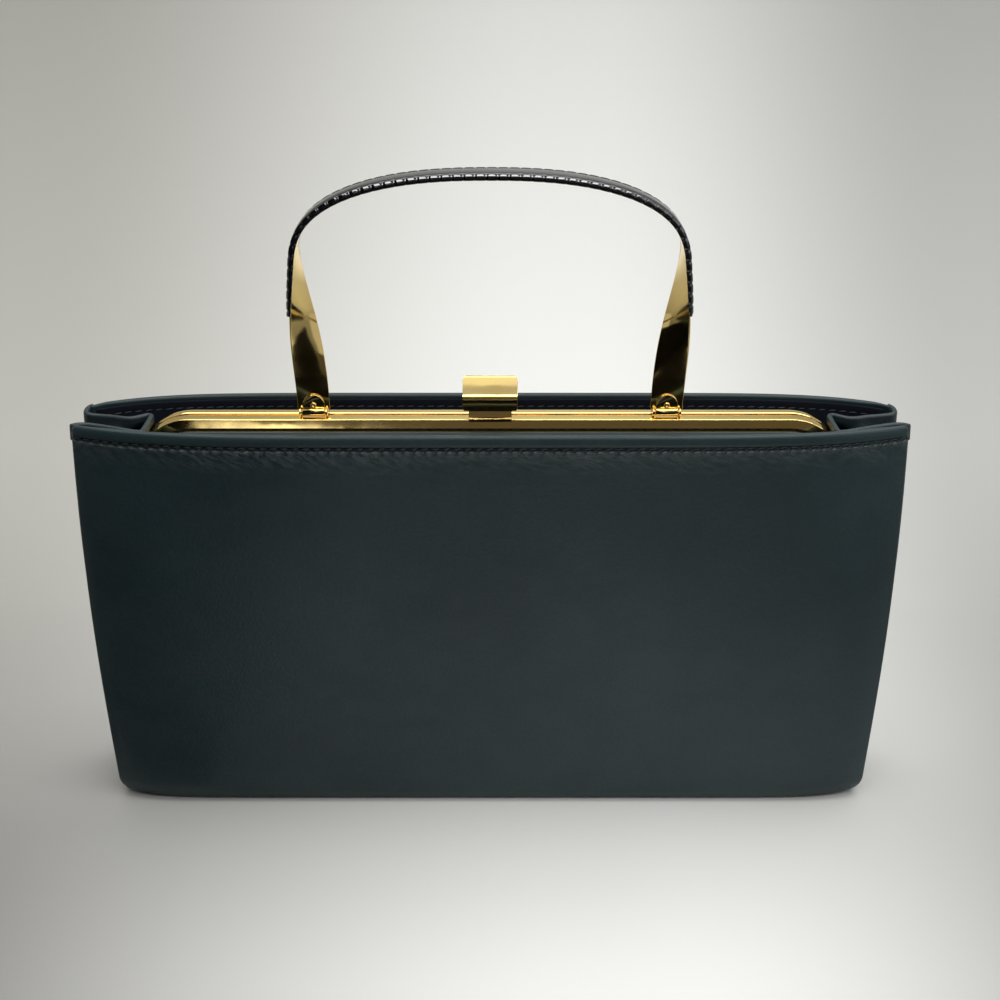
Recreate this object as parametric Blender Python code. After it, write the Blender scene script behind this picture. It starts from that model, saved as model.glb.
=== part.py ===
"""Evening clutch with a framed centre pouch, two open outer pockets and a fold-down strip handle.

Metres, +Z up, X along the bag's width and -Y to its front. The origin is on the surface the bag
stands on, under the middle of the bag. The bag body and the rear rail stay still. The front rail,
the soft front pocket, the handle and the clasp tab each hang on an empty that lies on their hinge.
"""

import math

import bmesh
import bpy
from mathutils import Vector

# Clearance between two pieces that touch, and how far a cutter or a joined lug reaches past a face
GAP = 0.0003
OVERRUN = 0.001

# Outer size of the bag body
BAG_HEIGHT = 0.138
TOP_WIDTH = 0.270
BASE_WIDTH = 0.263
SIDE_BULGE = 0.0018
TOP_DEPTH = 0.0426
BASE_DEPTH = 0.0420

# The panels are flat in the middle and sweep back to their side seams
FRONT_TOP_SWEEP = 0.0107
REAR_TOP_SWEEP = 0.0125
BASE_SWEEP = 0.0050
FRONT_SWEEP_POWER = 5.5
REAR_SWEEP_POWER = 7.0
BASE_SWEEP_POWER = 14.0

# Sheets
LEATHER = 0.0012
BOARD = 0.0008
LINING = 0.0005
TURNED_EDGE = 0.0060
EDGE_ROUND = 0.0008

# Bottom of the bag: a leather tray with a stiff board inside
TRAY_HEIGHT = 0.0080
TRAY_WALL = 0.0014
TRAY_EDGE_ROUND = 0.0040
TRAY_END_ROUND = 0.0070
TRAY_ROW_SHARES = (0.0, 0.08, 0.3, 0.6, 1.0)
BASE_BOARD = 0.0012
BASE_BOARD_MARGIN = 0.0040

# Metal frame of the centre pouch, two channel rails that meet at the bag's middle
FRAME_WIDTH = 0.236
RAIL_DEPTH = 0.00455
RAIL_HEIGHT = 0.0070
RAIL_WALL = 0.0007
RAIL_EDGE = 0.0009
RAIL_EDGE_MIDDLE_SHARE = 0.3
CORNER_RADIUS = 0.020
ARM_LENGTH = 0.028
PIVOT_DROP = 0.035
EAR_RADIUS = 0.0040
EAR_THICKNESS = 0.0010
EAR_OVERLAP = 0.0040
EAR_DISC_TURNS = (200.0, 452.0)
PIVOT_SHANK_RADIUS = 0.0010
PIVOT_HEAD_RADIUS = 0.0020
PIVOT_HEAD = 0.0003

# Centre pouch
WALL_REVEAL = 0.0043
FRONT_LINING_DROP = 0.0020

# Side gussets, folded in between the two outer pockets; on top the fold leans in over the frame
VALLEY_BEND = 0.0022
VALLEY_FRONT = 0.0110
VALLEY_REAR = 0.0056
VALLEY_TOP = 0.110
GUSSET_DROP = 0.0020

# Handle: a metal strip that twists a quarter turn in each leg, with a leather cover on top
HANDLE_SPAN = 0.1152
HANDLE_ARCH_WIDTH = 0.1218
HANDLE_ARCH_START = 0.0520
HANDLE_CROWN = 0.0775
HANDLE_ARCH_POWER = 2.4
STRIP_WIDTH = 0.0105
STRIP_THICKNESS = 0.0008
STRIP_LIFT = 0.0020
TWIST_START = 0.0020
TWIST_END = 0.0610
COVER_WIDTH = 0.0112
COVER_THICKNESS = 0.0013
COVER_START = 0.0346
COVER_EDGE = 0.0003

# Handle hinges, one under each leg, carried by the rear rail above the closed frame
HINGE_PIN_RADIUS = 0.00040
HINGE_BARREL_RADIUS = 0.00120
HINGE_AXIS_SETBACK = 0.00230
LEAF_WIDTH = 0.0072
LEAF_THICKNESS = 0.0006
HANDLE_EAR = 0.0008
HANDLE_EAR_REACH = 0.0025
HANDLE_EAR_RISE = 0.0014
HANDLE_EAR_TURNS = (20.0, 270.0)
HANDLE_RIVET_RADIUS = 0.00050
HANDLE_RIVET_HEAD_RADIUS = 0.00105
HANDLE_RIVET_HEAD = 0.0005
DOME_TOP_SHARE = 0.6
DOME_MIDDLE_SHARE = 0.9
HANDLE_RIVET_HEIGHT = 0.0036

# Lift clasp on the middle of the rear rail
CLASP_WIDTH = 0.0178
CLASP_PLATE = 0.0010
CLASP_FACE_BOTTOM = 0.0031
CLASP_FACE_TOP = 0.0079
CLASP_FACE_SETBACK = 0.0059
CLASP_THUMB_REACH = 0.0053
CLASP_THUMB_RISE = 0.0056
CLASP_CORNER = 0.0012
CLASP_ARM_WIDTH = 0.0110
CLASP_ARM = 0.0011
CLASP_PIN_RADIUS = 0.00050
CLASP_BARREL_RADIUS = 0.00140
CLASP_AXIS_SETBACK = 0.00260
CLASP_EAR = 0.0010
CATCH_WIDTH = 0.0140
CATCH_THICKNESS = 0.0008
CATCH_SETBACK = 0.0005
CATCH_LEAN = 0.0010

# Points along the curved pieces
PANEL_STEPS = 16
PANEL_ROW_SHARES = (0.0, 0.33, 0.67, 1.0)
CORNER_STEPS = 6
ROUND_STEPS = 12
ARCH_STEPS = 26
LEG_STEPS = 11
COVER_LEG_STEPS = 5
ACROSS_SHARES = (-1.0, -0.5, 0.0, 0.5, 1.0)

# Finishes: colour, roughness and metallic
TEAL_LEATHER = ("teal_leather", (0.016, 0.026, 0.030), 0.45, 0.0)
STIFF_BOARD = ("stiff_board", (0.36, 0.28, 0.19), 0.9, 0.0)
NAVY_LINING = ("navy_lining", (0.010, 0.012, 0.032), 0.85, 0.0)
GOLD = ("polished_gold", (0.83, 0.60, 0.26), 0.12, 1.0)
BLACK_PATENT = ("black_patent", (0.008, 0.008, 0.009), 0.15, 0.0)

# Heights and depths that follow from the sizes above
FRAME_HALF = FRAME_WIDTH / 2
RAIL_INNER = GAP / 2
RAIL_OUTER = RAIL_INNER + RAIL_DEPTH
PIVOT_HEIGHT = BAG_HEIGHT - PIVOT_DROP
WALL_INNER = RAIL_OUTER + GAP
WALL_OUTER = WALL_INNER + LEATHER
LAYER_BOARD = LEATHER + GAP
LAYER_LINING = LAYER_BOARD + BOARD + GAP
PANEL_STACK = LAYER_LINING + LINING
HINGE_BORE_RADIUS = HINGE_PIN_RADIUS + GAP
HANDLE_AXIS_HEIGHT = BAG_HEIGHT + GAP + HINGE_BARREL_RADIUS
CLASP_BORE_RADIUS = CLASP_PIN_RADIUS + GAP
CLASP_AXIS_HEIGHT = BAG_HEIGHT + GAP + CLASP_BARREL_RADIUS
STRIP_MIDDLE = -(HINGE_AXIS_SETBACK - HINGE_BARREL_RADIUS) + GAP + STRIP_THICKNESS / 2


def clear_scene():
    """Remove what the file opened with."""
    for item in list(bpy.data.objects):
        bpy.data.objects.remove(item, do_unlink=True)


def finish_material(finish):
    """Return the material of a finish, made on its first use."""
    name, colour, roughness, metallic = finish
    material = bpy.data.materials.get(name)
    if material is None:
        material = bpy.data.materials.new(name)
        material.use_nodes = True
        shader = material.node_tree.nodes["Principled BSDF"]
        shader.inputs["Base Color"].default_value = (*colour, 1.0)
        shader.inputs["Roughness"].default_value = roughness
        shader.inputs["Metallic"].default_value = metallic
    return material


def hinge_empty(name, y, z):
    """Put an empty on a hinge line that runs along X."""
    empty = bpy.data.objects.new(name, None)
    empty.location = (0.0, y, z)
    bpy.context.scene.collection.objects.link(empty)
    return empty


def add_object(name, shape, finish, parent):
    """Turn a bmesh in bag coordinates into an object that hangs on its parent empty."""
    bmesh.ops.recalc_face_normals(shape, faces=shape.faces)
    bmesh.ops.translate(shape, verts=shape.verts, vec=-parent.location)
    mesh = bpy.data.meshes.new(name)
    shape.to_mesh(mesh)
    shape.free()
    mesh.materials.append(finish_material(finish))
    item = bpy.data.objects.new(name, mesh)
    item.parent = parent
    bpy.context.scene.collection.objects.link(item)
    return item


def shade_round(item):
    """Shade a round piece smooth and keep its edges sharp."""
    item.data.shade_smooth()
    item.data.set_sharp_from_angle(angle=math.radians(35))


def apply_boolean(item, tool_shape, operation):
    """Cut or join a helper solid with an EXACT Boolean; the helper stays out of the part."""
    tool = add_object(item.name + "_" + operation.lower(), tool_shape, GOLD, item.parent)
    tool.hide_render = True
    tool.display_type = "WIRE"
    modifier = item.modifiers.new(operation.title(), "BOOLEAN")
    modifier.operation = operation
    modifier.solver = "EXACT"
    modifier.object = tool


def mix(low, high, share):
    """Linear step from low to high."""
    return low + (high - low) * share


def smooth_step(share):
    """Smooth 0 to 1 step, flat at both ends."""
    share = min(max(share, 0.0), 1.0)
    return share * share * (3.0 - 2.0 * share)


def height_share(z):
    """Height on the panels as a share, 0 at the tray's rim and 1 at the top edge."""
    return max(z - TRAY_HEIGHT, 0.0) / (BAG_HEIGHT - TRAY_HEIGHT)


def half_width(z):
    """Half the bag's width at a height."""
    share = height_share(z)
    return mix(BASE_WIDTH, TOP_WIDTH, share) / 2 + SIDE_BULGE * math.sin(math.pi * share)


def panel_depth(side, across, z):
    """Distance of an outer panel's face from the middle plane; side is -1 front or 1 rear."""
    share = height_share(z)
    top_sweep = FRONT_TOP_SWEEP if side < 0 else REAR_TOP_SWEEP
    top_power = FRONT_SWEEP_POWER if side < 0 else REAR_SWEEP_POWER
    sweep = mix(BASE_SWEEP, top_sweep, share)
    power = mix(BASE_SWEEP_POWER, top_power, share)
    return mix(BASE_DEPTH, TOP_DEPTH, share) / 2 - sweep * abs(across) ** power


def across_shares(trim):
    """Shares across a panel, closer together near its ends, less some at each end."""
    steps = range(trim, PANEL_STEPS + 1 - trim)
    return [math.sin(math.pi * (step / PANEL_STEPS - 0.5)) for step in steps]


def row_heights(top):
    """Heights of the rows of points on the panels and on what follows them."""
    return [mix(TRAY_HEIGHT + GAP, top, share) for share in PANEL_ROW_SHARES]


def grid_solid(near_rows, far_rows):
    """Close two grids of points, the near and the far face of a sheet, into one solid."""
    shape = bmesh.new()
    near = [[shape.verts.new(point) for point in row] for row in near_rows]
    far = [[shape.verts.new(point) for point in row] for row in far_rows]
    last_row = len(near) - 1
    last_column = len(near[0]) - 1
    for row in range(last_row):
        for column in range(last_column):
            for grid in (near, far):
                corners = (grid[row][column], grid[row][column + 1],
                           grid[row + 1][column + 1], grid[row + 1][column])
                shape.faces.new(corners)
    for row in (0, last_row):
        for column in range(last_column):
            shape.faces.new((near[row][column], near[row][column + 1],
                             far[row][column + 1], far[row][column]))
    for column in (0, last_column):
        for row in range(last_row):
            shape.faces.new((near[row][column], near[row + 1][column],
                             far[row + 1][column], far[row][column]))
    return shape


def loft_rings(rings, close_ends):
    """Skin a row of rings of equal length; the first and the last may be closed by a face."""
    shape = bmesh.new()
    loops = [[shape.verts.new(point) for point in ring] for ring in rings]
    count = len(loops[0])
    for lower, upper in zip(loops, loops[1:]):
        for step in range(count):
            after = (step + 1) % count
            shape.faces.new((lower[step], lower[after], upper[after], upper[step]))
    if close_ends:
        shape.faces.new(loops[0])
        shape.faces.new(loops[-1])
    return shape


def prism_x(outline, x_low, x_high):
    """Extrude an outline of (y, z) points along X."""
    rings = [[(x, y, z) for y, z in outline] for x in (x_low, x_high)]
    return loft_rings(rings, True)


def prism_y(outline, y_low, y_high):
    """Extrude an outline of (x, z) points along Y."""
    rings = [[(x, y, z) for x, z in outline] for y in (y_low, y_high)]
    return loft_rings(rings, True)


def circle_points(radius, first, second):
    """Points of a circle around a centre given by its two coordinates."""
    turns = [2.0 * math.pi * step / ROUND_STEPS for step in range(ROUND_STEPS)]
    return [(first + radius * math.cos(turn), second + radius * math.sin(turn)) for turn in turns]


def rod_x(radius, y, z, x_low, x_high):
    """Round rod along X."""
    return prism_x(circle_points(radius, y, z), x_low, x_high)


def rod_y(radius, x, z, y_low, y_high):
    """Round rod along Y."""
    return prism_y(circle_points(radius, x, z), y_low, y_high)


def merge_shapes(shapes):
    """Put several separate solids into one bmesh."""
    whole = bmesh.new()
    for shape in shapes:
        mesh = bpy.data.meshes.new("merge")
        shape.to_mesh(mesh)
        shape.free()
        whole.from_mesh(mesh)
        bpy.data.meshes.remove(mesh)
    return whole


def panel_sheet(side, levels, trim):
    """Sheet that follows an outer panel; levels are (height, near depth, far depth)."""
    near_rows = []
    far_rows = []
    for z, near, far in levels:
        spots = [(share * half_width(z), share) for share in across_shares(trim)]
        near_rows.append([(x, side * (panel_depth(side, share, z) - near), z) for x, share in spots])
        far_rows.append([(x, side * (panel_depth(side, share, z) - far), z) for x, share in spots])
    return grid_solid(near_rows, far_rows)


def build_outer_panel(prefix, side, parent):
    """Leather panel with its turned top edge, stiff board and pocket lining of one side."""
    hem = BAG_HEIGHT - TURNED_EDGE
    levels = [(z, 0.0, LEATHER) for z in row_heights(hem)]
    levels.append((hem + GAP, 0.0, PANEL_STACK))
    levels.append((BAG_HEIGHT - EDGE_ROUND, 0.0, PANEL_STACK))
    levels.append((BAG_HEIGHT, EDGE_ROUND, PANEL_STACK - EDGE_ROUND))
    panel = add_object(prefix + "_panel", panel_sheet(side, levels, 0), TEAL_LEATHER, parent)
    shade_round(panel)
    heights = row_heights(hem - GAP)
    board = [(z, LAYER_BOARD, LAYER_BOARD + BOARD) for z in heights]
    add_object(prefix + "_board", panel_sheet(side, board, 1), STIFF_BOARD, parent)
    lining = [(z, LAYER_LINING, PANEL_STACK) for z in heights]
    add_object(prefix + "_pocket_lining", panel_sheet(side, lining, 1), NAVY_LINING, parent)


def tray_ring(z, inset):
    """Closed outline of the tray at a height, drawn in by its rounded lower edge."""
    drop = 1.0 - min(z / TRAY_HEIGHT, 1.0)
    round_share = 1.0 - math.sqrt(1.0 - drop * drop)
    half = BASE_WIDTH / 2 - TRAY_END_ROUND * round_share - inset
    ring = []
    for side in (-1, 1):
        shares = across_shares(0)
        if side > 0:
            shares.reverse()
        for share in shares:
            depth = panel_depth(side, share, TRAY_HEIGHT) - TRAY_EDGE_ROUND * round_share - inset
            ring.append((share * half, side * depth, z))
    return ring


def build_base(parent):
    """Leather tray under the bag and the board that stiffens it."""
    rings = [tray_ring(TRAY_HEIGHT * share, 0.0) for share in TRAY_ROW_SHARES]
    rings.append(tray_ring(TRAY_HEIGHT, TRAY_WALL))
    floor_ring = tray_ring(TRAY_HEIGHT, BASE_BOARD_MARGIN)
    rings.append([(point[0], point[1], TRAY_WALL) for point in floor_ring])
    base = add_object("base_panel", loft_rings(rings, True), TEAL_LEATHER, parent)
    shade_round(base)
    board_ring = tray_ring(TRAY_HEIGHT, BASE_BOARD_MARGIN + TRAY_WALL)
    low = TRAY_WALL + GAP
    rings = [[(point[0], point[1], z) for point in board_ring] for z in (low, low + BASE_BOARD)]
    add_object("base_board", loft_rings(rings, True), STIFF_BOARD, parent)


def rail_path():
    """Outer contour of the frame with its inward normals, from the left arm's end to the right's."""
    top = BAG_HEIGHT
    centre_z = top - CORNER_RADIUS
    centre_x = FRAME_HALF - CORNER_RADIUS
    right = []
    for step in range(CORNER_STEPS + 1):
        turn = 0.5 * math.pi * step / CORNER_STEPS
        normal = Vector((-math.sin(turn), 0.0, -math.cos(turn)))
        spot = Vector((centre_x, 0.0, centre_z)) - normal * CORNER_RADIUS
        right.append((spot, normal))
    right.append((Vector((FRAME_HALF, 0.0, top - ARM_LENGTH)), Vector((-1.0, 0.0, 0.0))))
    left = []
    for spot, normal in reversed(right):
        left.append((Vector((-spot.x, 0.0, spot.z)), Vector((-normal.x, 0.0, normal.z))))
    return left + right


def rail_profile(side):
    """Channel section as (distance in from the contour, y), open towards the pouch."""
    near = side * RAIL_INNER
    far = side * RAIL_OUTER
    small = RAIL_EDGE * RAIL_EDGE_MIDDLE_SHARE
    return [(RAIL_HEIGHT, near), (RAIL_EDGE, near), (small, near + side * small),
            (0.0, near + side * RAIL_EDGE), (0.0, far - side * RAIL_EDGE),
            (small, far - side * small), (RAIL_EDGE, far), (RAIL_HEIGHT, far),
            (RAIL_HEIGHT, far - side * RAIL_WALL), (RAIL_WALL, far - side * RAIL_WALL),
            (RAIL_WALL, near + side * RAIL_WALL), (RAIL_HEIGHT, near + side * RAIL_WALL)]


def rail_channel(side):
    """Channel of one rail swept along the frame's contour."""
    profile = rail_profile(side)
    rings = []
    for spot, normal in rail_path():
        ring = [(spot.x + normal.x * inward, y, spot.z + normal.z * inward) for inward, y in profile]
        rings.append(ring)
    return loft_rings(rings, True)


def ear_layer(side):
    """Near and far |x| of a rail's pivot ear; the front ear lies inside the rear one."""
    if side > 0:
        return FRAME_HALF - RAIL_WALL, FRAME_HALF
    outer = FRAME_HALF - RAIL_WALL - GAP
    return outer - EAR_THICKNESS, outer


def pivot_ear(side, end):
    """Flat ear that takes an arm down to a disc at the pivot; end is -1 left or 1 right."""
    top = BAG_HEIGHT - ARM_LENGTH + EAR_OVERLAP
    disc = []
    for step in range(ROUND_STEPS + 1):
        turn = math.radians(mix(*EAR_DISC_TURNS, step / ROUND_STEPS))
        y = -side * EAR_RADIUS * math.cos(turn)
        disc.append((y, PIVOT_HEIGHT + EAR_RADIUS * math.sin(turn)))
    outline = disc + [(side * RAIL_INNER, top), (side * RAIL_OUTER, top)]
    outline.append((side * RAIL_OUTER, PIVOT_HEIGHT))
    low, high = sorted(end * layer for layer in ear_layer(side))
    return prism_x(outline, low, high)


def pivot_holes():
    """Cutter for the pivot rivets' holes at both ends of a rail."""
    low = FRAME_HALF - RAIL_HEIGHT
    high = FRAME_HALF + OVERRUN
    hole = PIVOT_SHANK_RADIUS + GAP
    holes = [rod_x(hole, 0.0, PIVOT_HEIGHT, *sorted((end * low, end * high))) for end in (-1, 1)]
    return merge_shapes(holes)


def handle_ear(x_low):
    """Ear that reaches forward from the rear rail and holds one end of a handle hinge pin."""
    low = BAG_HEIGHT + GAP
    web = BAG_HEIGHT - RAIL_WALL / 2
    axis_y = -HINGE_AXIS_SETBACK
    foot = RAIL_INNER + RAIL_EDGE
    disc = []
    for step in range(ROUND_STEPS):
        turn = math.radians(mix(*HANDLE_EAR_TURNS, step / (ROUND_STEPS - 1)))
        disc.append((axis_y + HINGE_BARREL_RADIUS * math.cos(turn),
                     HANDLE_AXIS_HEIGHT + HINGE_BARREL_RADIUS * math.sin(turn)))
    outline = disc + [(foot, low), (foot, web), (HANDLE_EAR_REACH, web)]
    outline += [(HANDLE_EAR_REACH, BAG_HEIGHT + HANDLE_EAR_RISE)]
    outline += [(axis_y + HINGE_BARREL_RADIUS, BAG_HEIGHT + HANDLE_EAR_RISE)]
    return prism_x(outline, x_low, x_low + HANDLE_EAR)


def clasp_ear(x_low):
    """Ear on the rear rail that holds one end of the clasp's pin."""
    web = BAG_HEIGHT - RAIL_WALL / 2
    disc = []
    for step in range(ROUND_STEPS // 2 + 1):
        turn = math.pi * step / (ROUND_STEPS // 2)
        disc.append((CLASP_AXIS_SETBACK + CLASP_BARREL_RADIUS * math.cos(turn),
                     CLASP_AXIS_HEIGHT + CLASP_BARREL_RADIUS * math.sin(turn)))
    outline = disc + [(CLASP_AXIS_SETBACK - CLASP_BARREL_RADIUS, web),
                      (CLASP_AXIS_SETBACK + CLASP_BARREL_RADIUS, web)]
    return prism_x(outline, x_low, x_low + CLASP_EAR)


def hinge_ear_places():
    """Low x of each of the four handle ears."""
    side_gap = LEAF_WIDTH / 2 + GAP
    places = []
    for end in (-1, 1):
        middle = end * HANDLE_SPAN / 2
        places.append(middle - side_gap - HANDLE_EAR)
        places.append(middle + side_gap)
    return places


def build_rails(bag, front_rail):
    """Both channel rails with their ears, and the rivets they turn on."""
    ears = [pivot_ear(1, end) for end in (-1, 1)]
    ears += [handle_ear(x) for x in hinge_ear_places()]
    clasp_side = CLASP_ARM_WIDTH / 2 + GAP
    ears += [clasp_ear(x) for x in (-clasp_side - CLASP_EAR, clasp_side)]
    rear = add_object("frame_rear_rail", rail_channel(1), GOLD, bag)
    apply_boolean(rear, merge_shapes(ears), "UNION")
    clasp_reach = clasp_side + CLASP_EAR + OVERRUN
    bores = [rod_x(CLASP_BORE_RADIUS, CLASP_AXIS_SETBACK, CLASP_AXIS_HEIGHT,
                   -clasp_reach, clasp_reach)]
    leaf_reach = LEAF_WIDTH / 2 + GAP + HANDLE_EAR + OVERRUN
    for end in (-1, 1):
        middle = end * HANDLE_SPAN / 2
        bores.append(rod_x(HINGE_BORE_RADIUS, -HINGE_AXIS_SETBACK, HANDLE_AXIS_HEIGHT,
                           middle - leaf_reach, middle + leaf_reach))
    bores.append(pivot_holes())
    apply_boolean(rear, merge_shapes(bores), "DIFFERENCE")
    shade_round(rear)
    front = add_object("frame_front_rail", rail_channel(-1), GOLD, front_rail)
    apply_boolean(front, merge_shapes([pivot_ear(-1, end) for end in (-1, 1)]), "UNION")
    apply_boolean(front, pivot_holes(), "DIFFERENCE")
    shade_round(front)
    for name, end in (("left", -1), ("right", 1)):
        build_pivot_rivet("frame_pivot_" + name, end, bag)


def build_pivot_rivet(name, end, parent):
    """Rivet through both ears, its outer head thin enough to lie inside the gusset's fold."""
    inner = ear_layer(-1)[0] - GAP
    outer = FRAME_HALF
    spots = [(inner - PIVOT_HEAD - GAP, PIVOT_HEAD_RADIUS), (inner, PIVOT_HEAD_RADIUS),
             (inner, PIVOT_SHANK_RADIUS), (outer, PIVOT_SHANK_RADIUS)]
    rings = []
    for x, radius in spots:
        rings.append([(end * x, y, z) for y, z in circle_points(radius, 0.0, PIVOT_HEIGHT)])
    rivet = add_object(name, loft_rings(rings, True), GOLD, parent)
    shade_round(rivet)


def pouch_sheet(inward, low, near, far):
    """Flat sheet of the centre pouch whose top edge runs a set distance inside the frame's contour."""
    radius = CORNER_RADIUS - inward
    corner = []
    for step in range(CORNER_STEPS + 1):
        turn = 0.5 * math.pi * step / CORNER_STEPS
        corner.append((FRAME_HALF - CORNER_RADIUS + radius * math.sin(turn),
                       BAG_HEIGHT - CORNER_RADIUS + radius * math.cos(turn)))
    top = [(-x, z) for x, z in reversed(corner)] + corner
    near_rows = [[(x, near, low) for x, z in top], [(x, near, z) for x, z in top]]
    far_rows = [[(x, far, low) for x, z in top], [(x, far, z) for x, z in top]]
    return grid_solid(near_rows, far_rows)


def build_pouch(prefix, side, parent):
    """Leather wall and lining of the centre pouch on one side."""
    low = TRAY_WALL + GAP + BASE_BOARD + GAP
    wall = pouch_sheet(WALL_REVEAL, low, side * WALL_INNER, side * WALL_OUTER)
    add_object(prefix + "_inner_wall", wall, TEAL_LEATHER, parent)
    inward = RAIL_HEIGHT + GAP
    if side < 0:
        inward += FRONT_LINING_DROP
    near = WALL_INNER - GAP
    lining = pouch_sheet(inward, low, side * near, side * (near - LINING))
    add_object("pouch_lining_" + prefix, lining, NAVY_LINING, parent)


def gusset_heights():
    """Heights of a gusset's rows: those of the panels, then those of the frame's rounded corner."""
    corner = BAG_HEIGHT - CORNER_RADIUS
    top = BAG_HEIGHT - GUSSET_DROP
    heights = [z for z in row_heights(top) if z < corner]
    turns = [0.5 * math.pi * step / CORNER_STEPS for step in range(CORNER_STEPS)]
    rows = [corner + CORNER_RADIUS * math.sin(turn) for turn in turns]
    return heights + [z for z in rows if z < top] + [top]


def valley_place(z):
    """Distance of a gusset's fold from the bag's middle; on top it follows the frame's corner in."""
    rise = max(z - (BAG_HEIGHT - CORNER_RADIUS), 0.0)
    radius = CORNER_RADIUS + GAP + LEATHER / 2
    return max(FRAME_HALF - CORNER_RADIUS + math.sqrt(radius ** 2 - rise ** 2), VALLEY_TOP)


def gusset_line(end, z):
    """Middle line of a side gusset's folded strip in plan, front seam to rear seam."""
    valley = valley_place(z)
    inset = PANEL_STACK + GAP + LEATHER / 2
    seam_share = across_shares(1)[-1]
    seam_x = seam_share * half_width(z)
    front_y = -(panel_depth(-1, seam_share, z) - inset)
    rear_y = panel_depth(1, seam_share, z) - inset
    points = [(seam_x, front_y), (valley + VALLEY_BEND, -VALLEY_FRONT),
              (valley, VALLEY_BEND - VALLEY_FRONT), (valley, VALLEY_REAR - VALLEY_BEND),
              (valley + VALLEY_BEND, VALLEY_REAR), (seam_x, rear_y)]
    return [Vector((end * x, y, z)) for x, y in points]


def build_gusset(name, end, parent):
    """Folded side gusset, a strip of even thickness from seam to seam."""
    near_rows = []
    far_rows = []
    for z in gusset_heights():
        line = gusset_line(end, z)
        near = []
        far = []
        for index, spot in enumerate(line):
            before = line[max(index - 1, 0)]
            after = line[min(index + 1, len(line) - 1)]
            along = (after - before).normalized()
            outward = Vector((along.y, -along.x, 0.0)) * (LEATHER / 2)
            near.append(spot + outward)
            far.append(spot - outward)
        near_rows.append(near)
        far_rows.append(far)
    add_object(name, grid_solid(near_rows, far_rows), TEAL_LEATHER, parent)


def handle_line():
    """Middle line of the strip as (x, height above the frame), from the left foot to the right."""
    half = HANDLE_ARCH_WIDTH / 2
    power = 2.0 / HANDLE_ARCH_POWER
    rise = HANDLE_CROWN - HANDLE_ARCH_START
    heights = [mix(STRIP_LIFT, COVER_START, step / LEG_STEPS) for step in range(LEG_STEPS)]
    for step in range(COVER_LEG_STEPS):
        heights.append(mix(COVER_START, HANDLE_ARCH_START, step / COVER_LEG_STEPS))
    right = []
    for height in heights:
        bend = smooth_step(height / HANDLE_ARCH_START)
        right.append((mix(HANDLE_SPAN / 2, half, bend), height))
    for step in range(ARCH_STEPS // 2 + 1):
        turn = math.pi * step / ARCH_STEPS
        x = half * max(math.cos(turn), 0.0) ** power
        right.append((x, HANDLE_ARCH_START + rise * math.sin(turn) ** power))
    return [(-x, height) for x, height in right[:-1]] + list(reversed(right))


def strip_rings(low, near, far, width, edge):
    """Sections of a flat strip along the handle, twisted so that its legs face the front."""
    line = handle_line()
    rings = []
    for index, (x, height) in enumerate(line):
        if height < low:
            continue
        before = line[max(index - 1, 0)]
        after = line[min(index + 1, len(line) - 1)]
        along = Vector((after[0] - before[0], 0.0, after[1] - before[1])).normalized()
        outward = Vector((-along.z, 0.0, along.x))
        share = (height - TWIST_START) / (TWIST_END - TWIST_START)
        turn = 0.5 * math.pi * (1.0 - smooth_step(share))
        back = Vector((0.0, 1.0, 0.0))
        normal = outward * math.cos(turn) + back * math.sin(turn)
        sideways = back * math.cos(turn) - outward * math.sin(turn)
        centre = Vector((x, STRIP_MIDDLE, BAG_HEIGHT + height))
        inner_half = width / 2
        outer_half = inner_half - edge
        section = [(inner_half * share, near) for share in ACROSS_SHARES]
        if edge > 0.0:
            section.append((inner_half, far - edge))
        section += [(-outer_half * share, far) for share in ACROSS_SHARES]
        if edge > 0.0:
            section.append((-inner_half, far - edge))
        rings.append([centre + sideways * wide + normal * deep for wide, deep in section])
    return rings


def build_handle(parent):
    """Metal strip, leather cover, and the two hinge leaves riveted to the strip's feet."""
    half = STRIP_THICKNESS / 2
    rings = strip_rings(STRIP_LIFT, -half, half, STRIP_WIDTH, 0.0)
    strip = add_object("handle_strip", loft_rings(rings, True), GOLD, parent)
    hole = HANDLE_RIVET_RADIUS + GAP
    rivet_z = BAG_HEIGHT + HANDLE_RIVET_HEIGHT
    front = STRIP_MIDDLE - half
    back = STRIP_MIDDLE + half
    holes = []
    for end in (-1, 1):
        x = end * HANDLE_SPAN / 2
        holes.append(rod_y(hole, x, rivet_z, front - OVERRUN, back + OVERRUN))
    apply_boolean(strip, merge_shapes(holes), "DIFFERENCE")
    shade_round(strip)
    near = half + GAP
    rings = strip_rings(COVER_START, near, near + COVER_THICKNESS, COVER_WIDTH, COVER_EDGE)
    cover = add_object("handle_cover", loft_rings(rings, True), BLACK_PATENT, parent)
    shade_round(cover)
    for name, end in (("left", -1), ("right", 1)):
        build_leaf("handle_leaf_" + name, end * HANDLE_SPAN / 2, parent)
        build_handle_rivet("handle_rivet_" + name, end * HANDLE_SPAN / 2, rivet_z, parent)


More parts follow.
